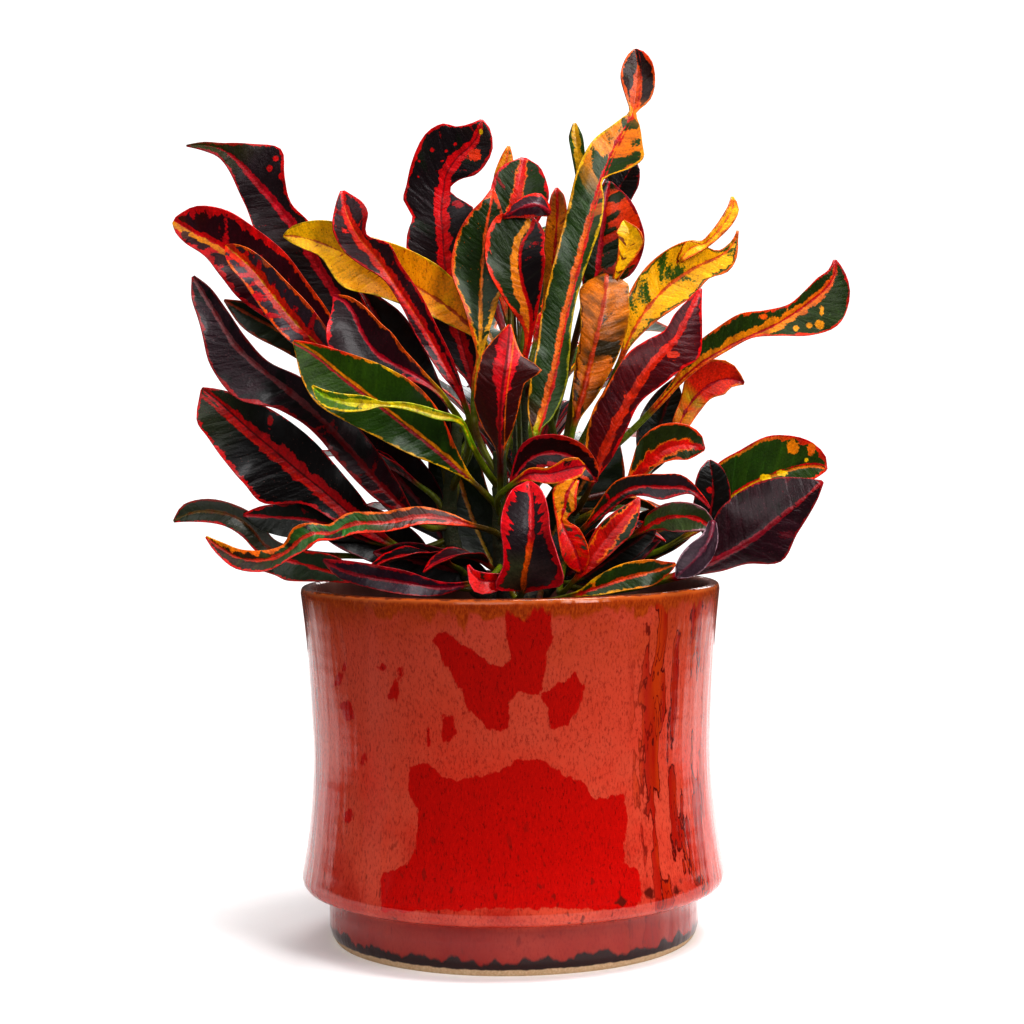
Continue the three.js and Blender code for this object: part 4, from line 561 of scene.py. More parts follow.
# Outlines of the saturated patches of the glaze and of its dark brown marks, as x and z in elevation
RED_PATCHES = [
    [(-48, 8), (-47.5, 22.8), (-39, 24), (-35, 30), (-34.6, 45), (-38.3, 52), (-36.5, 60), (-31, 62),
     (-26, 57), (-20, 55.3), (-8, 57), (0, 61.5), (6, 63), (12, 62), (18, 56.5), (25, 54.5), (29, 48),
     (35, 48.2), (40.5, 50.5), (41.5, 40), (39.5, 25), (46, 21), (46, 8)],
    [(-28.4, 107), (-24, 109.5), (-8, 97.5), (-3, 95.5), (0, 99), (-2, 108), (-2, 122), (15, 122),
     (15, 108), (13, 98), (11, 87), (9, 85.6), (2.5, 87), (-1.5, 82), (-1, 73), (-8, 73.6), (-15, 80.5),
     (-18, 88), (-24, 97)],
    [(10, 85.3), (16, 89.5), (23, 93.6), (26, 89), (25, 83), (21, 75), (14, 73.6), (13, 81)],
    [(-25.4, 79), (-20.6, 79), (-20, 73.5), (-22, 68.2), (-25, 70)],
    [(-64.5, 84), (-58, 84.5), (-56.5, 78), (-60, 77), (-62, 82.5)],
    [(-64, 90), (-60, 98.5), (-58.5, 97), (-62, 90)],
    [(-55, 62), (-53.5, 66), (-52.5, 62), (-54, 60)],
    [(-61, 43), (-58.5, 46), (-57.5, 41.5), (-60, 40)],
    [(-31, 75), (-29.8, 75), (-29.6, 68), (-30.8, 68)],
    [(-48, 97), (-45.5, 98.5), (-45, 95), (-47, 94.5)],
    [(-41, 97), (-39, 97), (-40, 88), (-42, 83), (-45, 86), (-42.5, 90)],
]
BROWN_MARKS = [
    [(36, 10), (38, 12.8), (41, 11.5), (40, 8.5)],
    [(46.5, 13), (49, 16.5), (51.5, 13), (49, 10.5)],
    [(56.5, 13.5), (58, 17.8), (60.5, 14.5), (58.5, 12)],
    [(64.5, 16.5), (67, 19.5), (68.5, 17.5), (66, 15.5)],
]
# Sides where the glaze ran in streaks: direction from +X and half width, in degrees
STREAKED_SIDES = [(-38, 17), (-166, 7), (52, 20), (133, 12)]
# The back has the same patches, mirrored and moved sideways and down by these lengths
BACK_SHIFT = 8
BACK_DROP = 4
HALF_WALL = 2.1
GLAZE_SPECULAR = 0.4
GLAZE_RELIEF = 0.5
# Noises of the glaze are drawn out upwards: a little for grains and edges, far for runs
DRAWN_OUT = (1, 1, 0.4)
RUN_DOWN = (1, 1, 0.13)

# Glaze colours. The coat goes from the foot to the lip by share of the height. Its pale coral outside the
# saturated patches is partly the glaze's own colour and partly painted reflection of the studio lights.
COAT_AND_REFLECTION = [(0, "941a10"), (0.2, "a82418"), (0.5, "c63c28"), (0.8, "c04c34"), (0.93, "b04418"), (1, "983c0c")]
COAT_CLOUD = "c24e38"
COAT_DARK_GRAIN = "74140c"
COAT_PALE_GRAIN = "cc6650"
STREAK_RED = "9c1604"
STREAK_ORANGE = "b03c0a"
PATCH_LOW = "b00602"
PATCH_HIGH = "aa0e06"
PATCH_PALE_GRAIN = "cc1608"
PATCH_DARK_GRAIN = "5e0602"
LOW_SPECK = "5a1810"
MARK_BROWN = "5c160c"
THIN_BROWN = "90340a"
THIN_ORANGE = "b85216"
TURN_ORANGE = "b4581a"
CREST_BROWN = "6a2c10"
# Red of the foot under the step, darkened as painted shade
FOOT_SHADE_RED = "84180e"
FOOT_BLACK = "2a0f0e"
CLAY_DARK = "b89a78"
CLAY_PALE = "cdb495"
WASH_DARK = "6e3a30"
WASH_PALE = "8c5a4e"
# Dark lines in the streaks: the flow in their middle, how far off it is at both of their edges, and colour
STREAK_LINES = [(0.03, 0.016, 0.006, "5c0a04"), (0.13, 0.012, 0.004, "741006")]
# Heights between which the glaze changes: thin below the lip, paler on its turn, dark on its crest, deeper
# on the foot with painted shade under the step, nearly black at its lower edge, and none on the clay
THIN_HEIGHTS = (120.6, 122.2)
TURN_HEIGHTS = (124.6, 125.4)
CREST_HEIGHTS = (125.9, 126.3)
FOOT_SHADE_HEIGHTS = (17.4, 15.0)
BLACK_HEIGHTS = (6.4, 5.4)
CLAY_HEIGHTS = (2.6, 2.1)


def unit(vectors):
    """Vectors of the same direction and a length of 1."""
    return vectors / np.linalg.norm(vectors, axis=-1, keepdims=True)


def way_along(points):
    """How far each point of a line lies from its first point along the line."""
    return np.concatenate([[0], np.cumsum(np.linalg.norm(np.diff(points, axis=0), axis=1))])


def smooth(a, b, c, d, f):
    """Value at the share f between b and c of a smooth curve through four neighbouring values."""
    return b + 0.5 * f * (c - a + f * (2 * a - 5 * b + 4 * c - d + f * (3 * (b - c) + d - a)))


def smooth_line(rows, step):
    """Every row, and rows between those that stand far apart. The place comes first in a row."""
    last = len(rows) - 1
    line = []
    for i in range(last):
        a, b, c, d = (rows[min(max(i + k, 0), last)] for k in (-1, 0, 1, 2))
        steps = max(1, round(np.linalg.norm(c[:3] - b[:3]) / step))
        line += [smooth(a, b, c, d, k / steps) for k in range(steps)]
    return np.array(line + [rows[last]])


def stem_curve(points, steps):
    """A smooth line through the points of a stem, with steps between each two of them."""
    points = np.array(points, float)
    points = np.vstack([2 * points[0] - points[1], points, 2 * points[-1] - points[-2]])
    line = []
    for a, b, c, d in zip(points, points[1:], points[2:], points[3:]):
        before, between, after = (math.sqrt(math.dist(*pair)) for pair in ((a, b), (b, c), (c, d)))
        start = ((b - a) / before - (c - a) / (before + between) + (c - b) / between) * between
        end = ((c - b) / between - (d - b) / (between + after) + (d - c) / after) * between
        bow = 3 * (c - b) - 2 * start - end
        twist = 2 * (b - c) + start + end
        line += [b + f * (start + f * (bow + f * twist)) for f in np.arange(steps) / steps]
    return np.array(line + [points[-2]])


def stem_at(branch, height):
    """The place on a stem that is nearest to a height."""
    line = stem_curve(STEMS[branch][0], STEM_SEARCH_STEPS)
    return line[np.argmin(np.abs(line[:, 2] - height))]


def seen_row(row):
    """Moves a measured row along its line of sight to its own depth: place, half widths, turn."""
    x, z, y, left, right, *turn = row
    scale = (y - EYE[1]) / -EYE[1]
    place = (EYE[0] + (x - EYE[0]) * scale, y, EYE[2] + (z - EYE[2]) * scale)
    return np.array([*place, left * scale, right * scale, turn[0] if turn else 0])


def in_elevation(points):
    """Where the camera sees the points on the upright plane through the middle of the planter."""
    scale = -EYE[1] / (points[..., 1] - EYE[1])
    return EYE[0] + (points[..., 0] - EYE[0]) * scale, EYE[2] + (points[..., 2] - EYE[2]) * scale


def bezier(start, bend, end, f):
    """The place at the share f of a curve from start to end, pulled towards the bend."""
    return (1 - f) ** 2 * start + 2 * f * (1 - f) * bend + f ** 2 * end


def front_leaves():
    """The leaves of the photo, with a phase for the waves of each margin."""
    leaves = []
    for order, (name, (branch, under, fold, rows)) in enumerate(FRONT_LEAVES.items()):
        leaves.append({
            "name": name, "branch": branch, "under": under, "fold": math.radians(fold),
            "rows": [seen_row(row) for row in rows], "facing": np.array([0.0, -1, 0]),
            "phase": FRONT_PHASE * order, "root": None,
        })
    return leaves


def arched_leaves():
    """The leaves that arch outwards from their stems by a rule."""
    leaves = []
    for order, (name, facts) in enumerate(ARCHED_LEAVES.items()):
        branch, direction, root_height, reach, tip_height, width, waisted, _ = facts
        root = stem_at(branch, root_height)
        outward = np.array([math.cos(math.radians(direction)), math.sin(math.radians(direction)), 0])
        tip = root + reach * outward
        tip[2] = tip_height
        bend = root + ARCH_BEND_AT * reach * outward
        bend[2] = max(tip_height, root_height) + ARCH_LIFT
        shares = ARCH_WAISTED if waisted else ARCH_PLAIN
        places = np.linspace(ARCH_BLADE_START, 1, len(shares))
        rows = [np.array([*bezier(root, bend, tip, f), width * share, width * share, 0])
                for f, share in zip(places, shares)]
        leaves.append({
            "name": name, "branch": branch, "under": False, "fold": math.radians(ARCH_FOLD),
            "rows": rows, "facing": np.array([0, 0, ARCH_FACES_UP]) - ARCH_FACES_IN * outward,
            "phase": ARCH_PHASE * order, "root": root,
        })
    return leaves


def set_roots(leaves):
    """The stalks leave a stem one above the other, in the order in which their leaves stand."""
    for branch, (line, _, _) in STEMS.items():
        stalked = [leaf for leaf in leaves
                   if leaf["branch"] == branch and leaf["root"] is None and leaf["name"] not in LOBES]
        stalked.sort(key=lambda leaf: leaf["rows"][0][2])
        top = line[-1][2] - STALK_BELOW_TIP
        for i, leaf in enumerate(stalked):
            share = (i + 0.5) / len(stalked)
            leaf["root"] = stem_at(branch, STALK_LOWEST + (top - STALK_LOWEST) * share)


def leaf_sections(leaf):
    """Sections from the root of the stalk to the tip: place, half widths, turn, and 1 on the stalk."""
    blade = smooth_line(leaf["rows"], SECTION_STEP)
    blade = np.column_stack([blade, np.zeros(len(blade))])
    if leaf["root"] is None:
        return blade
    foot = leaf["rows"][0][:3]
    along = unit(leaf["rows"][1][:3] - foot)
    reach = math.dist(foot, leaf["root"])
    steps = max(2, round(reach / STALK_STEP))
    places = [bezier(leaf["root"], foot - 0.5 * reach * along, foot, k / steps) for k in range(steps)]
    stalk = [[*place, STALK_RADIUS, STALK_RADIUS, 0, 1] for place in places]
    return np.vstack([stalk, blade])


def section_frames(sections, facing):
    """Sideways direction and facing direction of every section, worked out from the tip to the root."""
    points = sections[:, :3]
    first, last = points[1:2] - points[:1], points[-1:] - points[-2:-1]
    along = unit(np.vstack([first, points[2:] - points[:-2], last]))
    normals = np.zeros_like(points)
    for i in reversed(range(len(points))):
        on_stalk = sections[i, 6] == 1
        wanted = normals[i + 1] if on_stalk else facing
        normal = unit(wanted - np.dot(wanted, along[i]) * along[i])
        if not on_stalk:
            turn = math.radians(sections[i, 5])
            normal = normal * math.cos(turn) + np.cross(along[i], normal) * math.sin(turn)
        normals[i] = normal
    return np.cross(along, normals), normals


def leaf_grid(leaf):
    """Points over the middle surface of a leaf, with the facts that its markings follow."""
    sections = leaf_sections(leaf)
    sides, normals = section_frames(sections, leaf["facing"])
    on_stalk = sections[:, 6]
    run = way_along(sections[:, :3])
    run -= run[np.argmin(on_stalk)]
    fine = smooth_line(np.column_stack([sections, sides, normals, run]), FINE_STEP)
    points = fine[:, :3]
    widths = np.maximum(fine[:, 3:5], NARROWEST_HALF)
    stalk = np.clip(fine[:, 6:7], 0, 1)
    sides = unit(fine[:, 7:10])
    normals = unit(fine[:, 10:13])
    run = fine[:, 13:14]
    v = np.array([-a for a in reversed(ACROSS)] + [0] + list(ACROSS))
    width = np.where(v < 0, widths[:, :1], widths[:, 1:])
    fold = leaf["fold"]
    bent = fold / 2 + fold * np.abs(v)
    out = width * (np.sin(bent) - np.sin(fold / 2)) / fold
    up = width * (np.cos(fold / 2) - np.cos(bent)) / fold
    lag = np.where(v < 0, WAVE_LAG, 0)
    wave = WAVE_SHARE * width * v ** 2 * np.sin(2 * math.pi * run / WAVE_LENGTH + leaf["phase"] + lag)
    ripple = RIPPLE * v ** 4 * np.sin(2 * math.pi * run / RIPPLE_LENGTH + 3 * leaf["phase"] + 2 * lag)
    wave = (wave + ripple * np.minimum(width / RIPPLED_WIDTH, 1)) * (1 - stalk)
    lift = (up + wave) * (-1 if leaf["under"] else 1)
    off = np.sign(v) * out
    grid = points[:, None] + sides[:, None] * off[..., None] + normals[:, None] * lift[..., None]
    blade_length = run[-1, 0]
    return {
        "points": grid, "run": np.broadcast_to(run, off.shape), "off": off, "across": v, "stalk": stalk,
        "edge": np.abs(off[:, :1] * (v < 0) + off[:, -1:] * (v >= 0)) - np.abs(off),
        "share": np.broadcast_to(np.clip(run / blade_length, 0, 1), off.shape),
    }


def grid_normals(points):
    """Directions at right angles to a grid of points."""
    along = np.gradient(points, axis=0)
    across = np.gradient(points, axis=1)
    return unit(np.cross(across, along))


def half_thickness(grid, below):
    """Half the thickness over a face. The stalk is round, and the midrib stands out on the lower face."""
    v = grid["across"]
    round_half = STALK_RADIUS * np.sqrt(1 - 0.96 * v ** 2)
    blade_half = HALF_THICKNESS - (HALF_THICKNESS - MARGIN_THICKNESS) * v ** 4
    near_rib = np.exp(-(grid["off"] / RIB_HALF_WIDTH) ** 2)
    rise = RIB_RISE * (1 - grid["share"]) if below else -RIB_GROOVE
    return grid["stalk"] * round_half + (1 - grid["stalk"]) * (blade_half + rise * near_rib)


def make_mesh(name, points, faces, material, facts=None, uv=None):
    """An object from points in millimetres, with facts of each point and a uv pair for each corner."""
    mesh = bpy.data.meshes.new(name)
    mesh.from_pydata((np.asarray(points) * MM).tolist(), [], faces)
    for key, values in (facts or {}).items():
        layer = mesh.attributes.new(key, "FLOAT", "POINT")
        layer.data.foreach_set("value", np.asarray(values, np.float32).ravel())
    if uv is not None:
        layer = mesh.uv_layers.new(name="OFBake")
        layer.data.foreach_set("uv", np.asarray(uv, np.float32).ravel())
    mesh.polygons.foreach_set("use_smooth", [True] * len(mesh.polygons))
    mesh.materials.append(material)
    obj = bpy.data.objects.new(name, mesh)
    bpy.context.scene.collection.objects.link(obj)
    return obj


def ring_faces(rings, around):
    """Faces between neighbouring rings of points, and the ring and the step around of each corner."""
    faces, corners = [], []
    for i in range(rings - 1):
        for j in range(around):
            loop = ((i, j), (i, j + 1), (i + 1, j + 1), (i + 1, j))
            faces.append([row * around + step % around for row, step in loop])
            corners += loop
    return faces, corners


def leaf_object(leaf, material):
    """A leaf as a closed shell round its middle surface, with both ends capped."""
    grid = leaf_grid(leaf)
    normals = grid_normals(grid["points"])
    front = grid["points"] + normals * half_thickness(grid, leaf["under"])[..., None]
    back = grid["points"] - normals * half_thickness(grid, not leaf["under"])[..., None]
    shell = np.concatenate([front, back[:, ::-1]], axis=1)
    rings, around = shell.shape[:2]

    def both(values):
        return np.concatenate([values, values[:, ::-1]], axis=1)

    sight_x, sight_z = in_elevation(shell)
    is_front = np.ones_like(shell[..., 0])
    is_front[:, around // 2:] = 0
    facts = {key: both(grid[key]) for key in ("run", "off", "edge", "share")}
    facts.update(front=is_front, sight_x=sight_x, sight_z=sight_z)
    faces, corners = ring_faces(rings, around)
    uv = [(step / around, row / (rings - 1)) for row, step in corners]
    for first, row in ((0, 0), ((rings - 1) * around, 1)):
        cap = [first + j for j in range(around)]
        faces.append(cap if row else cap[::-1])
        uv += [(j / around, row) for j in (range(around) if row else reversed(range(around)))]
    return make_mesh(leaf["name"], shell.reshape(-1, 3), faces, material, facts, uv)


def lathe_object(name, profile, sides, material, wobble=0.0):
    """A turned piece. The wobble is how far its wall wanders, in millimetres."""
    profile = np.array(profile, float)
    turn = 2 * math.pi * np.arange(sides) / sides
    points = np.stack([
        profile[:, :1] * np.cos(turn), profile[:, :1] * np.sin(turn),
        np.broadcast_to(profile[:, 1:], (len(profile), sides)),
    ], axis=-1)
    if wobble:
        for ring in points:
            for point in ring:
                point[:2] *= 1 + wobble * noise.noise(Vector(point) * WOBBLE_SCALE) / WOBBLE_RADIUS
    section = way_along(profile)
    faces, corners = ring_faces(len(profile), sides)
    uv = [(step / sides, section[row] / section[-1]) for row, step in corners]
    return make_mesh(name, points.reshape(-1, 3), faces, material, {"height": points[..., 2]}, uv)


def smooth_section(points, step):
    """A smooth line through points of a section."""
    return smooth_line([np.array([*point, 0.0]) for point in points], step)[:, :2]


def planter_profile():
    """Round the foot, up the body with the faint rings of throwing, over the lip and down inside."""
    body = smooth_section(BODY, BODY_STEP)
    height = body[:, 1]
    body[:, 0] += THROWING_RINGS * np.sin(RING_TURN * height) * (height > RINGS_FROM) * (height < RINGS_TO)
    lip = smooth_section(LIP, LIP_STEP)
    inside = smooth_section(CAVITY, CAVITY_STEP)
    return [*FOOT[:-1], *body, *lip[1:], *inside[1:], *CAVITY_FLOOR[1:]]


def soil_profile():
    """Up the inside of the planter with a small gap, then over the crowned top."""
    side = [(r - SOIL_GAP, z + SOIL_GAP) for r, z in reversed(CAVITY_FLOOR[1:-1])]
    wall = [(r - SOIL_GAP, z + SOIL_GAP) for r, z in reversed(CAVITY[1:])]
    top_edge = [(SOIL_EDGE_RADIUS, SOIL_HEIGHT - 4), (SOIL_EDGE_RADIUS - 1, SOIL_HEIGHT - 1.5)]
    radii = np.linspace(SOIL_EDGE_RADIUS - 3, SOIL_CENTRE, SOIL_RINGS)
    rise = (SOIL_CROWN - SOIL_HEIGHT) * (1 - radii / radii[0])
    return [(SOIL_CENTRE, SOIL_FLOOR), *side, *wall, *top_edge, *zip(radii, SOIL_HEIGHT + rise)]


def crumble(obj):
    """Lifts and lowers the top of the soil in crumbs of a few millimetres."""
    for vertex in obj.data.vertices:
        place = vertex.co / MM
        if place.z > SOIL_HEIGHT - 1:
            coarse = noise.noise(place * 0.16)
            fine = noise.voronoi(place * 0.42)[0][0]
            grain = noise.noise(place * 1.3)
            vertex.co.z += CRUMB * (coarse + 0.3 - 1.5 * fine + 0.3 * grain) * MM


def stem_object(name, stem, material):
    """A stem with the rings where old leaves stood."""
    line, low, high = stem
    points = stem_curve(line, STEM_STEPS)
    along = unit(np.gradient(points, axis=0))
    across = np.array([1.0, 0, 0])
    length = way_along(points)
    turn = 2 * math.pi * np.arange(STEM_SIDES) / STEM_SIDES
    rings = []
    for place, ahead, run in zip(points, along, length):
        across = unit(across - np.dot(across, ahead) * ahead)
        up = np.cross(ahead, across)
        radius = low + (high - low) * run / length[-1]
        scar = SCAR_RISE * max(0, math.cos(2 * math.pi * run / SCAR_SPACING)) ** 6
        lumps = STEM_LUMPS * np.sin(3 * turn + run * 0.3) * np.sin(run * 0.8)
        reach = (radius + scar + lumps)[:, None]
        rings.append(place + reach * (np.cos(turn)[:, None] * across + np.sin(turn)[:, None] * up))
    shell = np.array(rings)
    facts = {"run": np.repeat(length[:, None], STEM_SIDES, axis=1), "height": shell[..., 2]}
    faces, corners = ring_faces(len(shell), STEM_SIDES)
    uv = [(step / STEM_SIDES, row / len(shell)) for row, step in corners]
    for first, flip in ((0, True), ((len(shell) - 1) * STEM_SIDES, False)):
        cap = [first + j for j in range(STEM_SIDES)]
        faces.append(cap[::-1] if flip else cap)
        uv += [(0.5, 0 if flip else 1)] * STEM_SIDES
    return make_mesh(name, shell.reshape(-1, 3), faces, material, facts, uv)


def colour(text):
    """Linear colour from six hex digits."""
    parts = [int(text[i:i + 2], 16) / 255 for i in (0, 2, 4)]
    return [p / 12.92 if p <= 0.04045 else ((p + 0.055) / 1.055) ** 2.4 for p in parts] + [1]


class Paint:
    """A material that is put together from nodes, and the ways to add them."""

    def __init__(self, name):
        self.material = bpy.data.materials.new(name)
        self.material.use_nodes = True
        self.nodes = self.material.node_tree.nodes
        self.surface = self.nodes["Principled BSDF"]

    def feed(self, socket, value):
        """Links an output to a socket, or sets the socket to a number or a colour."""
        if isinstance(value, bpy.types.NodeSocket):
            self.material.node_tree.links.new(value, socket)
        elif isinstance(value, str):
            socket.default_value = colour(value)
        else:
            socket.default_value = value

    def add(self, kind, *values, **settings):
        """A new node with its settings made and its first sockets fed."""
        node = self.nodes.new("ShaderNode" + kind)
        for key, value in settings.items():
            setattr(node, key, value)
        for i, value in enumerate(values):
            self.feed(node.inputs[i], value)
        return node

    def fact(self, name):
        """One of the numbers that each point of the mesh holds."""
        return self.add("Attribute", attribute_name=name).outputs["Fac"]

    def place(self):
        """The place on the object, in millimetres."""
        node = self.add("VectorMath", self.add("TexCoord").outputs["Object"], operation="SCALE")
        node.inputs["Scale"].default_value = 1 / MM
        return node.outputs[0]

    def math(self, operation, *values, clamp=False):
        return self.add("Math", *values, operation=operation, use_clamp=clamp).outputs[0]

    def vector(self, x, y, z=0.0):
        return self.add("CombineXYZ", x, y, z).outputs[0]

    def blend(self, share, low, high):
        """The colour low where the share is 0, high where it is 1."""
        node = self.add("Mix", share, data_type="RGBA")
        self.feed(node.inputs[6], low)
        self.feed(node.inputs[7], high)
        return node.outputs[2]

    def noise(self, place, scale, detail=3.0, roughness=0.55):
        """Three noises between about -0.5 and 0.5, over places in millimetres."""
        node = self.add("TexNoise", place)
        node.inputs["Scale"].default_value = scale
        node.inputs["Detail"].default_value = detail
        node.inputs["Roughness"].default_value = roughness
        parts = self.add("SeparateColor", node.outputs["Color"])
        return [self.math("SUBTRACT", part, 0.5) for part in parts.outputs[:3]]

    def ramp(self, place, stops):
        """Colour and width from stops of share, width in millimetres and colour, smooth in between."""
        node = self.add("ValToRGB", place)
        elements = node.color_ramp.elements
        elements.remove(elements[1])
        for i, (share, width, tone) in enumerate(stops):
            element = elements[0] if i == 0 else elements.new(share)
            element.position = share
            element.color = [*colour(tone)[:3], width / WIDEST_BAND]
        return node.outputs["Color"], self.math("MULTIPLY", node.outputs["Alpha"], WIDEST_BAND)

    def tones(self, share, stops):
        """A colour from stops of share and colour, smooth in between."""
        return self.ramp(share, [(place, 0, tone) for place, tone in stops])[0]

    def within(self, distance, limit, soft=0.35):
        """1 where the distance is below the limit, with an edge as soft as given, in millimetres."""
        return self.math("MULTIPLY_ADD", self.math("SUBTRACT", limit, distance), 1 / soft, 0.5, clamp=True)

    def stretch(self, value, low, high):
        """0 where the value is at or below low, 1 at or above high."""
        return self.math("MULTIPLY_ADD", value, 1 / (high - low), -low / (high - low), clamp=True)

    def finish(self, tone, roughness, height, relief):
        """Joins colour, roughness and a height in shares of the relief, in millimetres, to the surface."""
        bump = self.add("Bump")
        bump.inputs["Strength"].default_value = 1.0
        bump.inputs["Distance"].default_value = relief * MM
        self.feed(bump.inputs["Height"], height)
        self.feed(self.surface.inputs["Base Color"], tone)
        self.feed(self.surface.inputs["Roughness"], roughness)
        self.feed(self.surface.inputs["Normal"], bump.outputs["Normal"])
        return self.material


class LeafPaint(Paint):
    """The places on a leaf that its markings follow, in millimetres, and noises that fray their edges."""

    def __init__(self, name, seed):
        super().__init__(name)
        self.run = self.fact("run")
        self.off = self.fact("off")
        self.edge = self.fact("edge")
        self.share = self.fact("share")
        self.away = self.math("ABSOLUTE", self.off)
        self.right = self.math("GREATER_THAN", self.off, 0.0)
        self.sight = self.vector(self.fact("sight_x"), self.fact("sight_z"))
        ahead = self.math("MULTIPLY_ADD", self.away, -VEIN_SLANT, self.run)
        self.vein = self.vector(ahead, self.math("MULTIPLY", self.off, ACROSS_VEINS), VEIN_SEED * seed)
        self.coarse = self.noise(self.vein, 0.3)
        self.fine = self.noise(self.vector(self.run, self.off, BLADE_SEED * seed), 1.3)
        wander = self.math("MULTIPLY_ADD", self.coarse[0], VEIN_WANDER, ahead)
        self.to_vein = self.math("PINGPONG", wander, VEIN_SPACING / 2)
        dots = self.add("TexVoronoi", self.vector(self.run, self.off, seed), feature="F1")
        dots.inputs["Scale"].default_value = 1.15
        self.to_dot = dots.outputs["Distance"]
        self.shaded = self.math("MULTIPLY", self.stretch(self.coarse[2], -0.06, 0.16), 0.5)
        self.cell = self.add("SeparateColor", dots.outputs["Color"]).outputs[0]

    def ragged(self, distance, ragged):
        """A distance whose lines waver by about the given number of millimetres."""
        rough = self.math("MULTIPLY_ADD", self.coarse[1], COARSE_FRAY * ragged, distance)
        return self.math("MULTIPLY_ADD", self.fine[1], FINE_FRAY * ragged, rough)

    def along(self, stops):
        """A colour along the leaf, from stops of share and colour or from one colour for the whole leaf."""
        if isinstance(stops[0], str):
            stops = [(0, stops[0])]
        return self.tones(self.share, stops)

    def band(self, stops):
        """Colour and width along the leaf. A stop without a colour keeps that of the stop before it."""
        full = []
        for share, width, *tone in stops:
            full.append((share, width, tone[0] if tone else full[-1][2]))
        return self.ramp(self.share, full)

    def on_side(self, side, mask):
        """Keeps a mask on the right of the midrib with 1, on the left with -1, and on both sides with 0."""
        if side == 0:
            return mask
        half_blade = self.right if side > 0 else self.math("SUBTRACT", 1.0, self.right)
        return self.math("MULTIPLY", mask, half_blade)


def ground(*stops):
    """The blade's own colour along its length."""
    def paint(leaf, _):
        return leaf.along(stops)
    return paint


def half(side, *stops):
    """The colour of one half of the blade."""
    def paint(leaf, under):
        reach = leaf.within(leaf.ragged(0.0, 0.4), leaf.away)
        return leaf.blend(leaf.on_side(side, reach), under, leaf.along(stops))
    return paint


def mottle(tone, amount=0.4, size=9.0):
    """Soft clouds of a second colour."""
    def paint(leaf, under):
        cloud = leaf.noise(leaf.vein, 1 / size, 2.0)[2]
        return leaf.blend(leaf.stretch(cloud, 0.25 - 0.5 * amount, 0.45 - 0.5 * amount), under, tone)
    return paint


def blots(tone, amount=0.3, size=4.0, side=0, start=0.0, end=1.0):
    """Blotches with sharp edges, drawn out along the side veins, between two shares of the length."""
    def paint(leaf, under):
        field = leaf.math("MULTIPLY_ADD", leaf.fine[2], 0.22, leaf.noise(leaf.vein, 1 / size, 1.5)[1])
        mask = leaf.stretch(field, 0.26 - 0.5 * amount, 0.30 - 0.5 * amount)
        if start > 0:
            mask = leaf.math("MULTIPLY", mask, leaf.stretch(leaf.share, start - 0.04, start + 0.04))
        if end < 1:
            mask = leaf.math("MULTIPLY", mask, leaf.stretch(leaf.share, end + 0.04, end - 0.04))
        return leaf.blend(leaf.on_side(side, mask), under, tone)
    return paint


def dots(tone, amount=0.35, size=0.22):
    """Fine specks."""
    def paint(leaf, under):
        near = leaf.within(leaf.to_dot, size, 0.2)
        chosen = leaf.math("LESS_THAN", leaf.cell, amount)
        strength = leaf.math("MULTIPLY", chosen, DOT_STRENGTH)
        return leaf.blend(leaf.math("MULTIPLY", near, strength), under, tone)
    return paint


def veins(tone, amount=0.5, width=0.3):
    """Side veins that fade in and out."""
    def paint(leaf, under):
        fading = leaf.stretch(leaf.coarse[1], -0.12, 0.16)
        strength = leaf.math("MULTIPLY", fading, VEIN_STRENGTH * amount)
        mask = leaf.math("MULTIPLY", leaf.within(leaf.to_vein, width, 1.1), strength)
        return leaf.blend(mask, under, tone)
    return paint


def rib(*stops, ragged=0.4, shift=0.0):
    """A band along the midrib from stops of share, width and colour, moved sideways by the shift."""
    def paint(leaf, under):
        tone, width = leaf.band(stops)
        distance = leaf.math("ABSOLUTE", leaf.math("SUBTRACT", leaf.off, shift))
        swell = leaf.math("MULTIPLY_ADD", leaf.coarse[0], 0.7, 0.48)
        mask = leaf.within(leaf.ragged(distance, ragged), leaf.math("MULTIPLY", width, swell))
        return leaf.blend(mask, under, leaf.blend(leaf.shaded, tone, RIB_SHADE))
    return paint


def margin(side, *stops, ragged=0.6):
    """A band along one margin, 1 for the right and -1 for the left, or along both of them with 0."""
    def paint(leaf, under):
        tone, width = leaf.band(stops)
        swell = leaf.math("MULTIPLY_ADD", leaf.coarse[0], 2.2, 0.5)
        mask = leaf.within(leaf.ragged(leaf.edge, 0.7 * ragged), leaf.math("MULTIPLY", width, swell))
        tone = leaf.blend(leaf.shaded, tone, MARGIN_SHADE)
        return leaf.blend(leaf.on_side(side, mask), under, tone)
    return paint


def spot(x, z, radius, tone, tall=1.0):
    """A spot at a place in elevation."""
    def paint(leaf, under):
        apart = leaf.add("VectorMath", leaf.sight, (x, z, 0), operation="SUBTRACT").outputs[0]
        scaled = leaf.add("VectorMath", apart, (1, 1 / tall, 0), operation="MULTIPLY").outputs[0]
        distance = leaf.add("VectorMath", scaled, operation="LENGTH").outputs["Value"]
        rough = leaf.ragged(distance, 0.3 + 0.2 * radius)
        return leaf.blend(leaf.within(rough, 0.62 * radius), under, tone)
    return paint
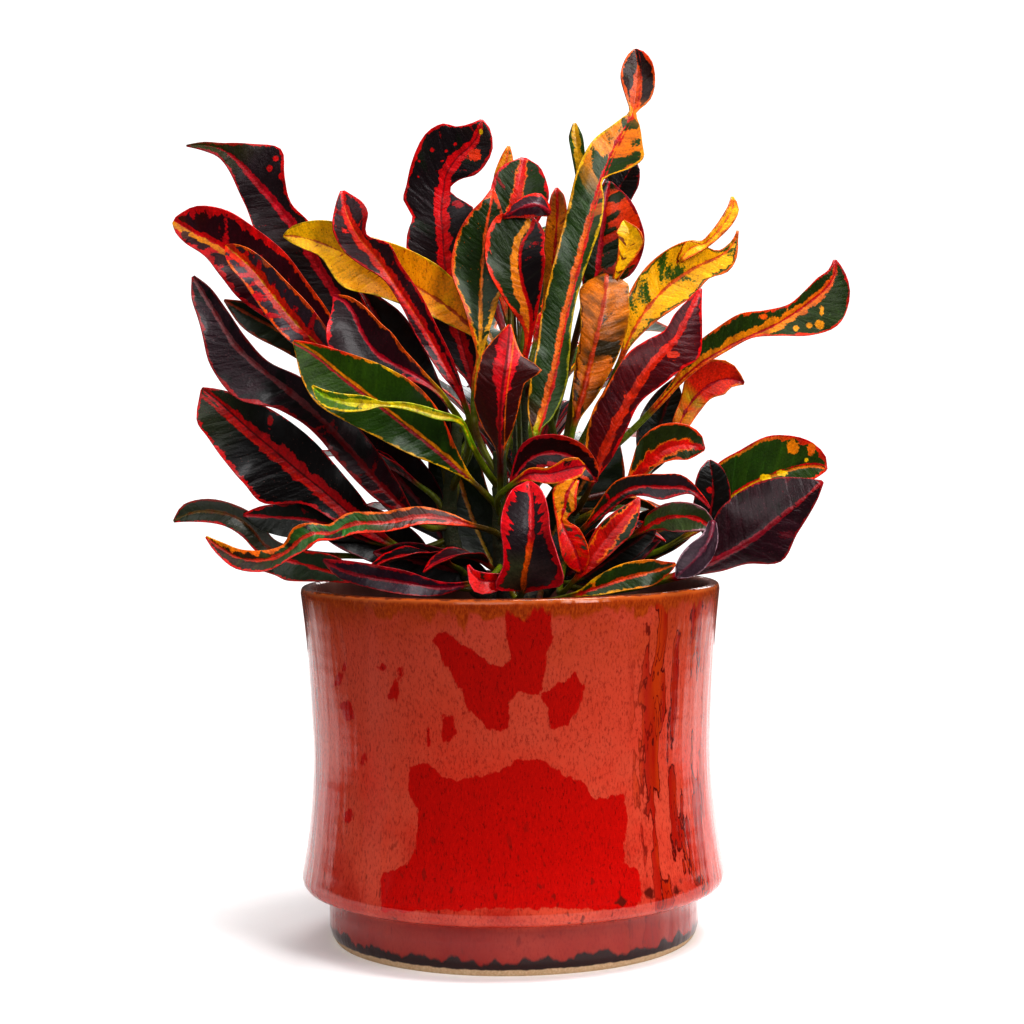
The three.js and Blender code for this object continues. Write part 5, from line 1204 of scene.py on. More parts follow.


# Markings of the leaves at the front, painted in the order in which they stand
# Looks of the leaves deep in the crown: their grounds are darkened nearly to black as painted shade
IN_SHADE = [
    ground((0, "0a0606"), (0.5, "0f0a0b"), (1, "120e0c")), mottle("1c1416", 0.4, 12), veins("241a1c"),
    blots("6a141c", 0.12), rib((0, 1.6, "6a1420"), (0.6, 2.2, "8a1624"), (1, 1), ragged=0.5),
    margin(0, (0, 0.6, "5a1420"), (1, 1.2, "8a1c28")),
]
IN_GREEN_SHADE = [
    ground((0, "10160c"), (1, "18260f")), mottle("2a360e", 0.4, 12), veins("425214", 0.45),
    blots("7a4a18", 0.1), rib((0, 1.4, "8a7a24"), (0.6, 1.6, "a8641c"), (1, 1, "a03a1c")),
    margin(0, (0, 0.6, "6a4a18"), (1, 1, "9a3a1c"), ragged=0.5),
]
LOOKS = {
    "crown_low_left": IN_SHADE,
    "crown_left": IN_SHADE,
    "crown_upper_left": IN_SHADE,
    "crown_far_left": IN_GREEN_SHADE,
    "crown_mid_left": IN_GREEN_SHADE,
    "crown_mid_right": IN_GREEN_SHADE,
    "crown_low_right": IN_GREEN_SHADE,
    "crown_foot_left": IN_SHADE,
    "crown_foot_right": IN_SHADE,
    "edge_red_black": [
        ground((0, CHARCOAL), (0.8, CHARCOAL), (0.9, OLIVE)), mottle("33242a"), dots("4a3a3c"),
        blots(DEEP_RED, 0.12, 3), veins("4a3238", 0.4),
        rib((0, 2.6, "cc1c30"), (0.6, 3.8, "d4203a"), (0.82, 2.2, CRIMSON), (0.9, 0)),
        margin(-1, (0, 0.6, RED), (1, 1, CRIMSON)),
        margin(1, (0, 0.8, RED), (0.6, 1.2), (0.8, 2.2), (1, 0.6, OLIVE)), spot(-81.6, 278.9, 1.6, RED),
        spot(-83.8, 275.7, 1.4, RED), spot(-79.9, 272.9, 1.8, RED),
    ],
    "broad_wine": [
        ground((0, PLUM), (0.4, WINE), (0.85, WINE), (1, "5a3020")), mottle("43222a", 0.45),
        dots("5a2a34", 0.5), veins("5a3038"), blots(DEEP_RED, 0.1, 3.5),
        margin(1, (0, 1.2, ORANGE), (0.45, 1.8, CORAL), (0.6, 4.2, "e42428"), (1, 5), ragged=1.1),
        margin(-1, (0, 1.6, CRIMSON), (1, 3.4, RED)), blots("d0202a", 0.3, 5, start=0.52),
        rib((0, 2.8, CRIMSON), (0.6, 3.2, RED), (1, 3)),
        rib((0, 0, ORANGE), (0.45, 0), (0.62, 1.5, "f09020"), (1, 2, AMBER), shift=-1.2),
        spot(-114.6, 252.3, 2.4, "5a3020"),
    ],
    "curled_wine": [
        ground((0, "3a2630"), (1, "4a3a42")), mottle("50343e", 0.45), dots("6a4a50", 0.4),
        veins("5e424a", 0.4), margin(0, (0, 1.2, CORAL), (1, 1.5, ORANGE)), blots("cc2c36", 0.34),
        rib((0, 5, "d4343c"), (1, 4.2, "f04c2a")), rib((0, 0.4, AMBER), (1, 0.8), ragged=0.6),
        spot(-92.5, 245.6, 1.5, RED),
    ],
    "amber_left": [
        ground((0, "f09420"), (0.5, "ffae1e"), (1, "ffcc24")), mottle("ffcc48"), dots("a85c14", 0.16, 0.24),
        blots("c86c14", 0.2, 3), veins("f8cc50"),
        rib((0, 1.6, "c8501c"), (0.5, 0.9, "d8702c"), (1, 0.5, "e0802c")),
        margin(0, (0, 0.8, YELLOW), (1, 1)),
    ],
    "pinched_wine": [
        ground((0, "2a0e12"), (0.5, WINE), (0.7, "3a2226"), (1, "4a3438")), mottle("4a2c34"),
        dots("6a2a34", 0.5), veins("5a3a40", 0.45), blots(DEEP_RED, 0.12, 3),
        rib((0, 2.2, "cc1c2c"), (0.5, 4, "dc2420"), (0.75, 4.4, "e83a1c"), (1, 2, RED), ragged=0.6),
        rib((0, 0, CORAL), (0.45, 0.6, "f05a20"), (0.7, 0.9), (1, 0, ORANGE)),
        blots("d8281e", 0.24, 3.5, start=0.7), margin(-1, (0, 0.8, CRIMSON), (1, 1, RED)),
        margin(1, (0, 1, CRIMSON), (0.6, 1.4, RED), (1, 2.6)),
    ],
    "folded_wine": [
        ground((0, PLUM), (0.6, "3c1f26"), (1, WINE)), dots("6a3038", 0.5), veins("5a343c"),
        mottle("4c2a30"), half(-1, (0, "3c1f26"), (0.3, "1e0f14"), (1, "2a1218")),
        margin(-1, (0, 1.6, CRIMSON), (0.4, 3.4, "d01c28"), (1, 3), ragged=0.8),
        margin(1, (0, 1.6, "b8c040"), (0.25, 1.4, "f08a68"), (1, 1.6)),
        rib((0, 1.8, "b8c040"), (0.15, 1.8, "c8243c"), (1, 1.6)),
    ],
    "great_green": [
        ground((0, "6a4a20"), (0.12, "1e3608"), (0.5, "35560b"), (1, "384c12")), mottle("42600f", 0.45, 14),
        veins("5c7a20", 0.45), blots("223c08", 0.2, 6), dots("4a6a2a", 0.14, 0.24),
        rib((0, 1.4, AMBER), (0.4, 1.1, "f09818"), (1, 0.9), shift=0.5, ragged=0.2),
        rib((0, 1.3, "9a1c2c"), (0.5, 1.1, "a82430"), (1, 0.6, "b82430"), shift=-0.6, ragged=0.2),
        margin(
            1, (0, 1.2, YELLOW), (0.2, 1.5, CORAL), (0.5, 1.5, ORANGE), (0.6, 1.5, YELLOW),
            (0.8, 1.6, CORAL), (1, 1.4), ragged=0.5,
        ),
        margin(-1, (0, 0.9, YELLOW), (1, 0.8, AMBER)),
    ],
    "slim_lime": [
        ground((0, "5c7c18"), (1, "5a7a24")), veins(LIME, 0.4),
        rib((0, 3, "f0d820"), (0.7, 3.4), (1, 1, LIME), ragged=0.6), blots("46640c", 0.2, 3),
        margin(0, (0, 1, LIME), (1, 0.8, YELLOW)),
    ],
    "long_plum": [
        ground((0, "38141c"), (0.5, "26141a"), (1, "301a24")), mottle("40222c", 0.4, 14),
        dots("5a3a3e", 0.4), veins("52363e"), blots(DEEP_RED, 0.24, end=0.45), blots("120b0c", 0.3, 7),
        # The midrib band is real; its grey from the middle to the tip is a painted highlight
        rib((0, 2.4, DEEP_RED), (0.45, 2.2, "7a4a4c"), (1, 1.6, "7a5a5c")),
        margin(-1, (0, 1.2, DEEP_RED), (0.5, 2), (1, 1.2), ragged=0.5),
        margin(1, (0, 0.6, DEEP_RED), (1, 0.8, "6a2024")),
    ],
    "great_black": [
        ground((0, BLACK), (0.72, "0e090b"), (0.86, "343a26"), (1, "3c4029")), mottle("1a1014", 0.3, 12),
        veins("3a2c2e", 0.6), dots("6a4a44", 0.2), blots(CRIMSON, 0.08), blots("a02028", 0.14, end=0.3),
        rib((0, 4, DEEP_RED), (0.2, 6, "c0101c"), (0.6, 6.4), (0.85, 4, RED), (1, 1), ragged=0.7),
        rib((0, 1.2, "d84a44"), (1, 1), shift=-2.2), rib((0, 0.7, "5a0810"), (1, 0.5), ragged=0.1),
        margin(-1, (0, 1.4, CRIMSON), (0.6, 2, RED), (1, 2.6), ragged=0.8),
        margin(1, (0, 0.2, CRIMSON), (0.75, 0.2, RED), (0.88, 1.8, "d03028"), (1, 1.6, RED), ragged=1.4),
        spot(-85.3, 185.6, 1.6, RED, 1.4), spot(-81.0, 189.5, 1.6, RED, 0.6), spot(-70.3, 183.2, 2.4, RED),
        spot(-73.5, 186.5, 1.6, CRIMSON, 0.5), spot(-86.1, 180.2, 1, CRIMSON),
    ],
    "olive_tip": [
        ground((0, "5a4c44"), (0.4, "3a3a2c"), (1, "2c3420")), mottle("4a4c34"), veins("5a5c40"),
        margin(-1, (0, 0.8, "b02820"), (1, 0.9, RED)), margin(1, (0, 0.6, OLIVE), (1, 0.6, "b02820")),
        rib((0, 1.6, "7a4434"), (1, 1, "6a5a34")),
    ],
    "low_dark_left": [
        ground((0, "14100e"), (1, "1c2018")), mottle("323a16"), veins("34402c"), blots("7a1c20", 0.14, 3),
        margin(1, (0, 1, CRIMSON), (1, 1.4, RED), ragged=0.5), rib((0, 1.4, DEEP_RED), (1, 1.2, CRIMSON)),
    ],
    "ruffled_ribbon": [
        ground(
            (0, "5a2c28"), (0.3, "4a3028"), (0.45, "3c6a34"), (0.65, "3c5a30"), (0.8, "3a2c20"),
            (1, "4a3020"),
        ),
        mottle("5a7a48", 0.25), veins("7a8a50", 0.45), blots("2c2418", 0.25),
        rib((0, 1.8, "b03028"), (1, 1.2, "c84020")), margin(-1, (0, 1.6, "f05028"), (1, 1.2, RED)),
        margin(1, (0, 1, ORANGE), (0.7, 1.4), (0.85, 3, "f8801c"), (1, 2.6, "f8b020"), ragged=0.5),
    ],
    "rim_green_left": [
        ground((0, "5c5a48"), (0.35, "34402c"), (1, "1e2a18")), mottle("3c4a30"), veins("4c5a3c"),
        rib((0, 1.6, "d03828"), (1, 1.4, CRIMSON)), margin(0, (0, 0.7, RED), (1, 0.9, "c03020")),
        blots("7a2420", 0.12, 3),
    ],
    "rim_plum": [
        ground((0, "3a2430"), (1, "2e1a26")), mottle("4c3440"), dots("6a3a44", 0.45), veins("5c4450"),
        margin(1, (0, 1.2, "c02030"), (1, 1.5), ragged=0.5), margin(-1, (0, 0.6, DEEP_RED), (1, 0.8)),
        rib((0, 1.6, "8a2838"), (1, 1.2, "9a2030")),
    ],
    "lobed_black": [
        ground((0, "2a1c26"), (0.3, CHARCOAL), (0.9, "21161a"), (1, "3a2a24")), mottle("1c2814", 0.45, 8),
        dots("4a2a34", 0.4), veins("46323a"), blots(DEEP_RED, 0.1, 3),
        rib((0, 3, CRIMSON), (0.3, 5.4, "e8202a"), (0.8, 5.4), (1, 1.4, RED), ragged=0.7),
        rib((0, 0.7, "a01020"), (1, 0.6), ragged=0.1),
        margin(-1, (0, 1, CRIMSON), (0.5, 1.6, RED), (1, 2), ragged=0.7),
        margin(1, (0, 1, CRIMSON), (1, 1.2, RED), ragged=0.5), spot(-17.7, 283.4, 0.9, RED),
        spot(-21.0, 281.0, 0.8, RED), spot(-25.9, 281.4, 0.8, RED), spot(-22.4, 277.5, 1, RED, 0.6),
        spot(-30.6, 277.6, 0.7, RED), spot(-31.1, 271.9, 0.8, RED), spot(-10.6, 279.5, 4.4, "e84a20", 0.8),
        spot(-8.4, 287.6, 0.9, YELLOW, 1.8), spot(-16.9, 262.1, 3.4, CRIMSON, 0.6),
    ],
    "orange_edged": [
        ground((0, "3c5a14"), (0.3, "29400c"), (1, "263c0c")), mottle("36501a", 0.35),
        dots("c87848", 0.12, 0.24), veins("3c5a2c"), blots("c8641c", 0.16, side=1),
        rib((0, 1.6, YELLOW), (0.6, 1.2, ORANGE), (1, 1, CORAL)),
        margin(-1, (0, 2.6, YELLOW), (0.5, 2.4, AMBER), (1, 2.4, ORANGE), ragged=0.8),
        margin(-1, (0, 1.5, ORANGE), (1, 1.8, CORAL), ragged=0.5),
        margin(1, (0, 3, YELLOW), (0.5, 2.4, AMBER), (1, 2.4, CORAL), ragged=0.9),
    ],
    "round_red": [
        ground("273a0e"), mottle("3a4e10"), veins("4a5a34"), blots("8a2420", 0.18, 3),
        rib((0, 4, AMBER), (0.4, 6.4, ORANGE), (1, 3), ragged=0.8),
        rib((0, 2.6, "e8402a"), (0.5, 5), (1, 2, RED), ragged=0.7),
        margin(0, (0, 1.4, "d02428"), (0.5, 2), (1, 1.5)),
    ],
    "small_orange_tip": [
        ground((0, OLIVE), (0.4, "c88a20"), (1, "f0a020")), blots("5a5a20", 0.3, 3), veins(YELLOW, 0.4),
        margin(0, (0, 0.8, ORANGE), (1, 0.8)), rib((0, 1, "c8501c"), (1, 0.8, ORANGE)),
    ],
    "heart_green": [
        ground("27380e"), half(1, (0, "261c1e"), (1, "20161a")), mottle("3c4e1c", 0.3), veins("4a5a3c"),
        blots("a02428", 0.25, 3.5, side=1),
        rib((0, 3, "f0901e"), (0.5, 3.4), (1, 2, AMBER), ragged=0.6, shift=-1.6),
        rib((0, 1.4, RED), (1, 1.2), shift=0.4),
        margin(-1, (0, 1.8, CORAL), (0.5, 3, "f05038"), (1, 2.4, CORAL), ragged=0.7),
        margin(1, (0, 1.2, RED), (1, 2), ragged=0.7),
    ],
    "heart_flap": [
        ground("4a2a32"), mottle("5c3c42"), veins("6a4a50"), margin(0, (0, 1.5, "f05048"), (1, 1.5)),
        rib((0, 1, "a83040"), (1, 0.8)),
    ],
    "narrow_amber": [
        ground((0, "d8801e"), (0.75, "f0921e"), (1, "8a3420")), blots("9a4a1c", 0.28, 3), veins(YELLOW),
        dots("7a3a14"), rib((0, 1.4, "c8401c"), (1, 1, RED)), margin(0, (0, 0.8, YELLOW), (1, 0.8, CORAL)),
    ],
    "tall_twisted": [
        ground(
            (0, "5a1c24"), (0.1, "2a420e"), (0.45, "26400c"), (0.6, "304c12"), (0.68, "e8921a"),
            (0.8, "f0941a"), (0.86, "3c1c18"), (0.93, "2e1816"), (1, "4a241c"),
        ),
        mottle("3c5410", 0.3, 12),
        half(
            1, (0, "344c18"), (0.5, "384f18"), (0.6, "c8641c"), (0.8, "ec8a18"), (0.88, "361c1a"),
            (1, "361c1a"),
        ),
        veins("3a5a28", 0.45), blots("2c440e", 0.5, 6, start=0.5, end=0.84),
        rib(
            (0, 3, "b8c832"), (0.06, 2.6, "ec7a1c"), (0.5, 2.4), (0.62, 1, RED), (0.8, 1),
            (0.86, 5, "f0702a"), (0.93, 3.4, "e8642a"), (0.97, 0, "f06a30"), (1, 0, CORAL), ragged=0.6,
        ),
        rib((0, 0.8, "e0382a"), (0.5, 1), (0.6, 0.6, RED), (1, 0), shift=1.2),
        margin(
            -1, (0, 1, "e8a81e"), (0.5, 1.2), (0.8, 1.4, YELLOW), (0.88, 1.8, "f0702c"), (1, 1.6),
            ragged=0.4,
        ),
        margin(1, (0, 0.6, "8a9a3c"), (0.6, 1.2, YELLOW), (0.88, 1.6, ORANGE), (1, 1.6, CORAL), ragged=0.4),
    ],
    "slim_tip": [
        ground("3a5c18"), rib((0, 4, "e8b818"), (1, 3), ragged=0.6), veins(LIME, 0.4),
        margin(0, (0, 0.6, "3a5c18"), (1, 0.5, OLIVE)),
    ],
    "rounded_flame": [
        ground((0, "2c3a24"), (0.3, "1f2e0a"), (1, "1f2e0a")),
        half(1, (0, "4c5a3c"), (0.25, "3c4a30"), (0.4, "e83a24"), (1, "f0622c")), mottle("2e3a0e", 0.3),
        veins("c05030", 0.3), blots("26360c", 0.5, 5.5, side=1),
        rib((0, 1.6, "d01c34"), (0.5, 2.2), (1, 1.4)), margin(0, (0, 1.2, "b01c2c"), (1, 1.6)),
    ],
    "black_disc": [
        ground((0, "d0202c"), (0.2, "160f10"), (1, "160f10")), mottle("241a1a"), veins("342628"),
        rib((0, 2, "d0202c"), (0.6, 0.8, CRIMSON), (1, 0)), margin(0, (0, 1, RED), (1, 0.6, DEEP_RED)),
        blots(DEEP_RED, 0.12, 3),
    ],
    "gold_curl": [
        ground("f8c41c"), mottle("e8a018"), blots("8a4a14", 0.22, 3), veins("fadc60", 0.4),
        margin(0, (0, 0.6, ORANGE), (1, 0.6)),
    ],
    "amber_back": [
        ground((0, "b8601c"), (0.5, "cc741c"), (1, "d4801e")), mottle("e0963a", 0.4, 10),
        dots("8a4a1c", 0.2, 0.24), veins("eaa850"), mottle("5a3a10", 0.5), blots("3a2c10", 0.42, 8, side=1),
        blots("3a2c10", 0.3, 6, end=0.4), rib((0, 1.8, "b8401c"), (1, 1.2, "c8501c")),
        margin(-1, (0, 1.6, "6a3418"), (1, 1.2)), margin(0, (0, 0.6, "e8a820"), (1, 0.7)),
    ],
    "gold_green": [
        ground((0, "e8aa1a"), (0.4, "fcbc1c"), (1, "fcbc1c")), mottle("f4c028"), veins("f8d850"),
        blots("40600a", 0.36, 7), dots("9a5a18", 0.14, 0.24), blots("a8401c", 0.12, 3),
        margin(0, (0, 1.6, "46640c"), (1, 1.8), ragged=1.0), margin(0, (0, 0.8, ORANGE), (1, 0.9)),
        rib((0, 1.4, "e06020"), (1, 1, ORANGE)),
    ],
    "gold_fork": [
        ground("f0b418"), mottle("e89a18", 0.35), blots("6a6a18", 0.16, 3), veins("f8d050", 0.4),
        margin(0, (0, 0.8, ORANGE), (1, 0.8)), rib((0, 0.8, ORANGE), (1, 0.5)),
    ],
    "rose_rib": [
        ground((0, "6a2a2c"), (1, "5c2028")), mottle("421820"), dots("a05048", 0.55), veins("6a4048"),
        blots("e0503c", 0.1, 3), rib((0, 3, "e0503c"), (0.5, 3.2), (1, 1.4, RED), ragged=0.5),
        spot(59.0, 207.4, 3.6, "e0503c", 0.5), margin(1, (0, 1.2, RED), (1, 1.5), ragged=0.5),
        margin(-1, (0, 1.6, AMBER), (0.35, 1.4, ORANGE), (0.6, 1, RED), (1, 1), ragged=0.4),
    ],
    "arching_right": [
        ground((0, "4c4a2c"), (0.2, "35480f"), (1, "2e4010")), mottle("425214", 0.4, 10), veins("4c6a3c"),
        dots("5a7a48", 0.25),
        rib(
            (0, 3, AMBER), (0.3, 4.4, "f09a24"), (0.6, 5.4), (0.85, 3.4, ORANGE), (1, 1, CORAL), ragged=1.0,
        ),
        rib((0, 0.9, "c81e24"), (1, 0.8), ragged=0.2),
        margin(-1, (0, 1, "f0752c"), (0.3, 1.8), (0.7, 1.4, CORAL), (1, 1.6, "c83030"), ragged=1.0),
        margin(1, (0, 0.9, ORANGE), (0.7, 1.2, CORAL), (1, 1.6, "c83030")),
        spot(91.6, 220.6, 2.6, "f07028", 0.8), spot(112.0, 217.8, 2.2, AMBER),
        spot(103.4, 216.5, 1.8, AMBER), spot(108.1, 217.2, 1.4, AMBER), spot(95.9, 215.9, 1.4, AMBER),
        spot(112.7, 222.5, 1.4, AMBER, 1.8),
    ],
    "red_hook": [
        ground((0, "e84f28"), (0.45, "c8a82c"), (0.55, "e84a3a"), (0.85, "e84a3a"), (1, "3a2a30")),
        mottle("f06a48"), dots("b83028", 0.45), blots("3a2a30", 0.2, start=0.6), veins("f08060", 0.4),
        margin(0, (0, 0.9, ORANGE), (1, 1)), rib((0, 1, CRIMSON), (1, 0.8)),
    ],
    "shade_right": [
        ground("0c140a"), mottle("182414"), veins("2c380f"), blots("8a2418", 0.1, 3),
        rib((0, 1.4, "5a1c18"), (1, 1)), margin(0, (0, 0.5, "5a2418"), (1, 0.6)),
    ],
    "red_spear": [
        ground("323a16"), mottle("44503a"), veins("4c5a40"),
        rib((0, 3, ORANGE), (0.4, 6, "f08030"), (0.8, 4, ORANGE), (1, 1, RED), ragged=1.0),
        rib((0, 2, "e83028"), (0.4, 4.6), (0.8, 3), (1, 1, RED), ragged=0.9),
        margin(0, (0, 0.9, "f08030"), (1, 1.1, CORAL)),
    ],
    "great_right": [
        ground((0, "364c0e"), (0.5, "2c4a0c"), (1, "364c0e")), mottle("446012", 0.45, 12),
        veins("6a8a5a", 0.6), dots("4c6a3c", 0.25), blots("1e3008", 0.2, 5),
        rib((0, 2.4, YELLOW), (0.3, 2, "d8b828"), (1, 1, ORANGE)), rib((0, 0.7, RED), (1, 0.6), shift=-0.9),
        margin(0, (0, 1.5, "f0a020"), (0.6, 1.8, "f0961c"), (0.85, 3.2, CORAL), (1, 3), ragged=1.0),
        margin(0, (0, 0.5, RED), (1, 0.7)), spot(101.7, 174.0, 3.4, "f09414", 1.3),
        spot(92.3, 163.3, 3.4, YELLOW, 0.6), spot(98.4, 164.7, 3.4, YELLOW, 0.5),
        spot(106.7, 169.3, 0.9, YELLOW), spot(108.5, 173.2, 2.6, "f0843a", 1.2),
    ],
    "veined_plum": [
        ground((0, "481420"), (0.4, "30101a"), (1, "2a0e16")), mottle("42202a", 0.45, 12),
        dots("5c343c", 0.3), veins("5a3038", 0.6), blots("5a1622", 0.2, 6),
        rib((0, 2.4, "a83040"), (0.6, 1.8, "8a2c38"), (1, 1, DEEP_RED)),
        margin(0, (0, 1, DEEP_RED), (1, 1.2), ragged=0.5), blots("20100f", 0.2, 5),
    ],
    "black_oval": [
        ground("15120f"), mottle("24201c"), veins("34302c"), spot(72.1, 158.9, 1.8, "c82c2c"),
        rib((0, 1.4, CRIMSON), (0.5, 0.8, DEEP_RED), (1, 0.4)),
        margin(0, (0, 0.6, DEEP_RED), (1, 0.7, CRIMSON)),
    ],
    "scroll_inner": [
        ground((0, "4a6a18"), (0.5, "4c5a34"), (1, "3c4028")), mottle("5a6048"), veins("6a7a50"),
        rib((0, 2, "d82820"), (1, 1.4, RED), ragged=0.5), margin(0, (0, 0.8, "b83020"), (1, 0.9, "a89098")),
        blots("2c3420", 0.2),
    ],
    "scroll_outer": [
        ground((0, "3a262e"), (1, "42303a")), mottle("4c3a42"), veins("6a525a", 0.4),
        margin(0, (0, 0.6, "a89098"), (1, 0.7)), rib((0, 1.2, "7a4450"), (1, 0.8, "6a4450")),
    ],
    "red_green_right": [
        ground((0, "2c380f"), (0.5, "34282c"), (1, "42242c")), mottle("4c3438", 0.35), veins("5a4448"),
        blots("c02c30", 0.16, 3), margin(1, (0, 1, "b82830"), (1, 1.4)),
        margin(-1, (0, 0.7, ORANGE), (1, 0.8, RED)), rib((0, 1.6, RED), (1, 1, CRIMSON)),
    ],
    "red_heart_right": [
        ground(DARK_GREEN), veins("3c5030"), rib((0, 5, ORANGE), (0.5, 8.5), (1, 3), ragged=0.8),
        rib((0, 3.4, "d02018"), (0.5, 7), (1, 2), ragged=0.8), margin(0, (0, 0.9, "c83020"), (1, 1)),
    ],
    "rim_green_right": [
        ground((0, "35480f"), (1, "27380e")), mottle("425214", 0.35), veins("4c6a38"),
        blots("e08028", 0.16, 3), margin(0, (0, 1, YELLOW), (0.5, 1.2, AMBER), (1, 1.2, RED), ragged=0.5),
        rib((0, 1.6, RED), (1, 1, ORANGE)),
    ],
    "low_black_right": [
        ground((0, "0a0a08"), (1, "12140e")), mottle("1c1e18"), veins("24261e"),
        margin(0, (0, 0.5, "4a1c18"), (1, 0.6, "5a1c18")), rib((0, 1.2, "5a1c1c"), (1, 0.8, "4a1c1c")),
        blots("5a1c1c", 0.08, 3),
    ],
    "front_spoon": [
        # The pale grey of the ground near the foot of the blade is a painted sheen
        ground((0, "4a2420"), (0.2, "5a4a48"), (0.4, "2a2024"), (1, "2a2024")), mottle("3a242a"),
        dots("5a3c44"), veins("44302f", 0.45),
        half(-1, (0, "4a2420"), (0.25, "4a4c38"), (0.4, "2c2024"), (1, "2a2024")),
        rib((0, 2, "e8702c"), (0.35, 2.2), (0.5, 2.4, "c8202a"), (1, 1.6)),
        margin(0, (0, 2, "d82830"), (0.4, 4.4, "dc1c2a"), (1, 6), ragged=0.45),
        margin(0, (0, 0.4, "e87a80"), (1, 0.5), ragged=0.1),
    ],
    "front_spoon_lobe": [
        ground("e82828"), mottle("c81c24"), blots("3a3424", 0.3, 5), veins("f05050", 0.4),
        margin(0, (0, 0.5, "e87a80"), (1, 0.5), ragged=0.1), rib((0, 0.8, CRIMSON), (1, 0.6)),
    ],
    "red_collar": [
        ground("e02c38"), mottle("c82030"), blots("301014", 0.3, 5, side=-1), dots("f05058", 0.3),
        veins("f05a5c", 0.4), margin(0, (0, 0.9, "f09030"), (1, 1), ragged=0.4),
        rib((0, 1.2, "a01428"), (1, 1)),
    ],
    "hanging_twist": [
        ground((0, "f0a030"), (0.4, "f0982c"), (0.55, "e02c30"), (1, "e02c30")), mottle("e87a28", 0.3),
        blots("3c4a20", 0.32, end=0.5), blots("4a5040", 0.25, start=0.5), veins("f8c050", 0.35),
        margin(0, (0, 1, CORAL), (1, 0.8, "f06a40")), rib((0, 1, RED), (1, 1, CRIMSON)),
    ],
    "plum_arch": [
        ground("2a0c0e"), mottle("3c181c"), dots("5a242a", 0.4), veins("4c282c"),
        margin(0, (0, 1.6, "c01c2c"), (0.5, 2), (1, 2, "d8582c"), ragged=0.5),
        rib((0, 1.4, CRIMSON), (1, 1)),
    ],
    "crimson_rib": [
        ground((0, "54241e"), (0.3, "4a1a1a"), (1, "4a1a1a")), mottle("5c2a28"), dots("6a3438", 0.55),
        veins("5a3434", 0.45),
        rib((0, 1, CRIMSON), (0.35, 2, "e0303a"), (0.6, 7.5), (0.85, 8), (1, 3, RED), ragged=0.8),
        rib((0, 0.5, "8a1018"), (0.6, 0.9), (1, 0.5), ragged=0.1),
        rib((0, 0.4, ORANGE), (0.6, 0.5), (1, 0.3), ragged=0.2, shift=1.6),
        margin(0, (0, 0.8, "f07a30"), (1, 0.9), ragged=0.3),
    ],
}

# Markings of the leaves inside the crown and behind it, by pattern
PATTERNS = {
    "gold": [
        ground((0, "8a8a24"), (0.3, "e8a81c"), (1, "f0b41c")), mottle("f4c428"), blots("40600a", 0.38, 7),
        blots("a8401c", 0.12, 3), veins("f8d850"), dots("8a5a18", 0.14, 0.24),
        rib((0, 2, "c8401c"), (1, 1, ORANGE)), margin(0, (0, 1, "46640c"), (1, 1.4), ragged=0.9),
        margin(0, (0, 0.6, CORAL), (1, 0.7)),
    ],
    "scarlet": [
        ground((0, "2c380f"), (1, "2c2024")), mottle("40302c"), veins("5a4438"), blots(CRIMSON, 0.3, 5),
        rib((0, 2.4, ORANGE), (0.5, 5.6), (1, 1.4), ragged=1.0),
        rib((0, 1.6, RED), (0.5, 4.2), (1, 1.2), ragged=0.8),
        margin(0, (0, 1, RED), (0.6, 2), (1, 1.4, CORAL), ragged=0.8),
    ],
    "wine": [
        ground((0, "3a1c20"), (0.5, WINE), (1, PLUM)), mottle("4a2c34", 0.45), dots("6a343c", 0.5),
        veins("5c3c42", 0.55), blots(DEEP_RED, 0.16),
        rib((0, 2.4, CRIMSON), (0.6, 2.8, "c8203a"), (1, 1.2, CRIMSON)),
        margin(0, (0, 0.9, CRIMSON), (0.7, 1.8, RED), (1, 1.4), ragged=0.7),
    ],
    "moss": [
        ground((0, "4a5a20"), (0.25, GREEN), (1, "364c0e")), mottle("446012", 0.45, 11),
        veins("6a8a4a", 0.55), blots("d8a020", 0.14), dots("4c6a3c", 0.3),
        rib((0, 2.4, YELLOW), (0.6, 2, AMBER), (1, 1, ORANGE), ragged=0.5),
        rib((0, 0.8, RED), (1, 0.7), shift=-0.8),
        margin(0, (0, 1.2, AMBER), (0.6, 1.5, ORANGE), (1, 1.6, CORAL), ragged=0.5),
    ],
    "flame": [
        ground((0, "3a4a1c"), (0.3, "25360c"), (1, "2c360f")),
        half(1, (0, "3a4a1c"), (0.3, "c84020"), (0.7, "e8502c"), (1, "e8702c")), mottle("2c4020", 0.3),
        veins("b05a30", 0.35), blots("24381a", 0.34, 5, side=1), blots("c84a24", 0.16, side=-1),
        rib((0, 2, CRIMSON), (1, 1.4, RED)), margin(0, (0, 1, CORAL), (1, 1.6, RED)),
    ],
    "black": [
        ground((0, "181014"), (1, "180f12")), mottle("261a1e", 0.4, 12), veins("362428", 0.6),
        blots(CRIMSON, 0.12), rib((0, 3, CRIMSON), (0.5, 4.6, "c0101c"), (1, 1.4, RED), ragged=0.7),
        rib((0, 0.6, "5a0810"), (1, 0.5), ragged=0.1),
        margin(0, (0, 1, CRIMSON), (0.7, 2, RED), (1, 2), ragged=0.8),
    ],
}


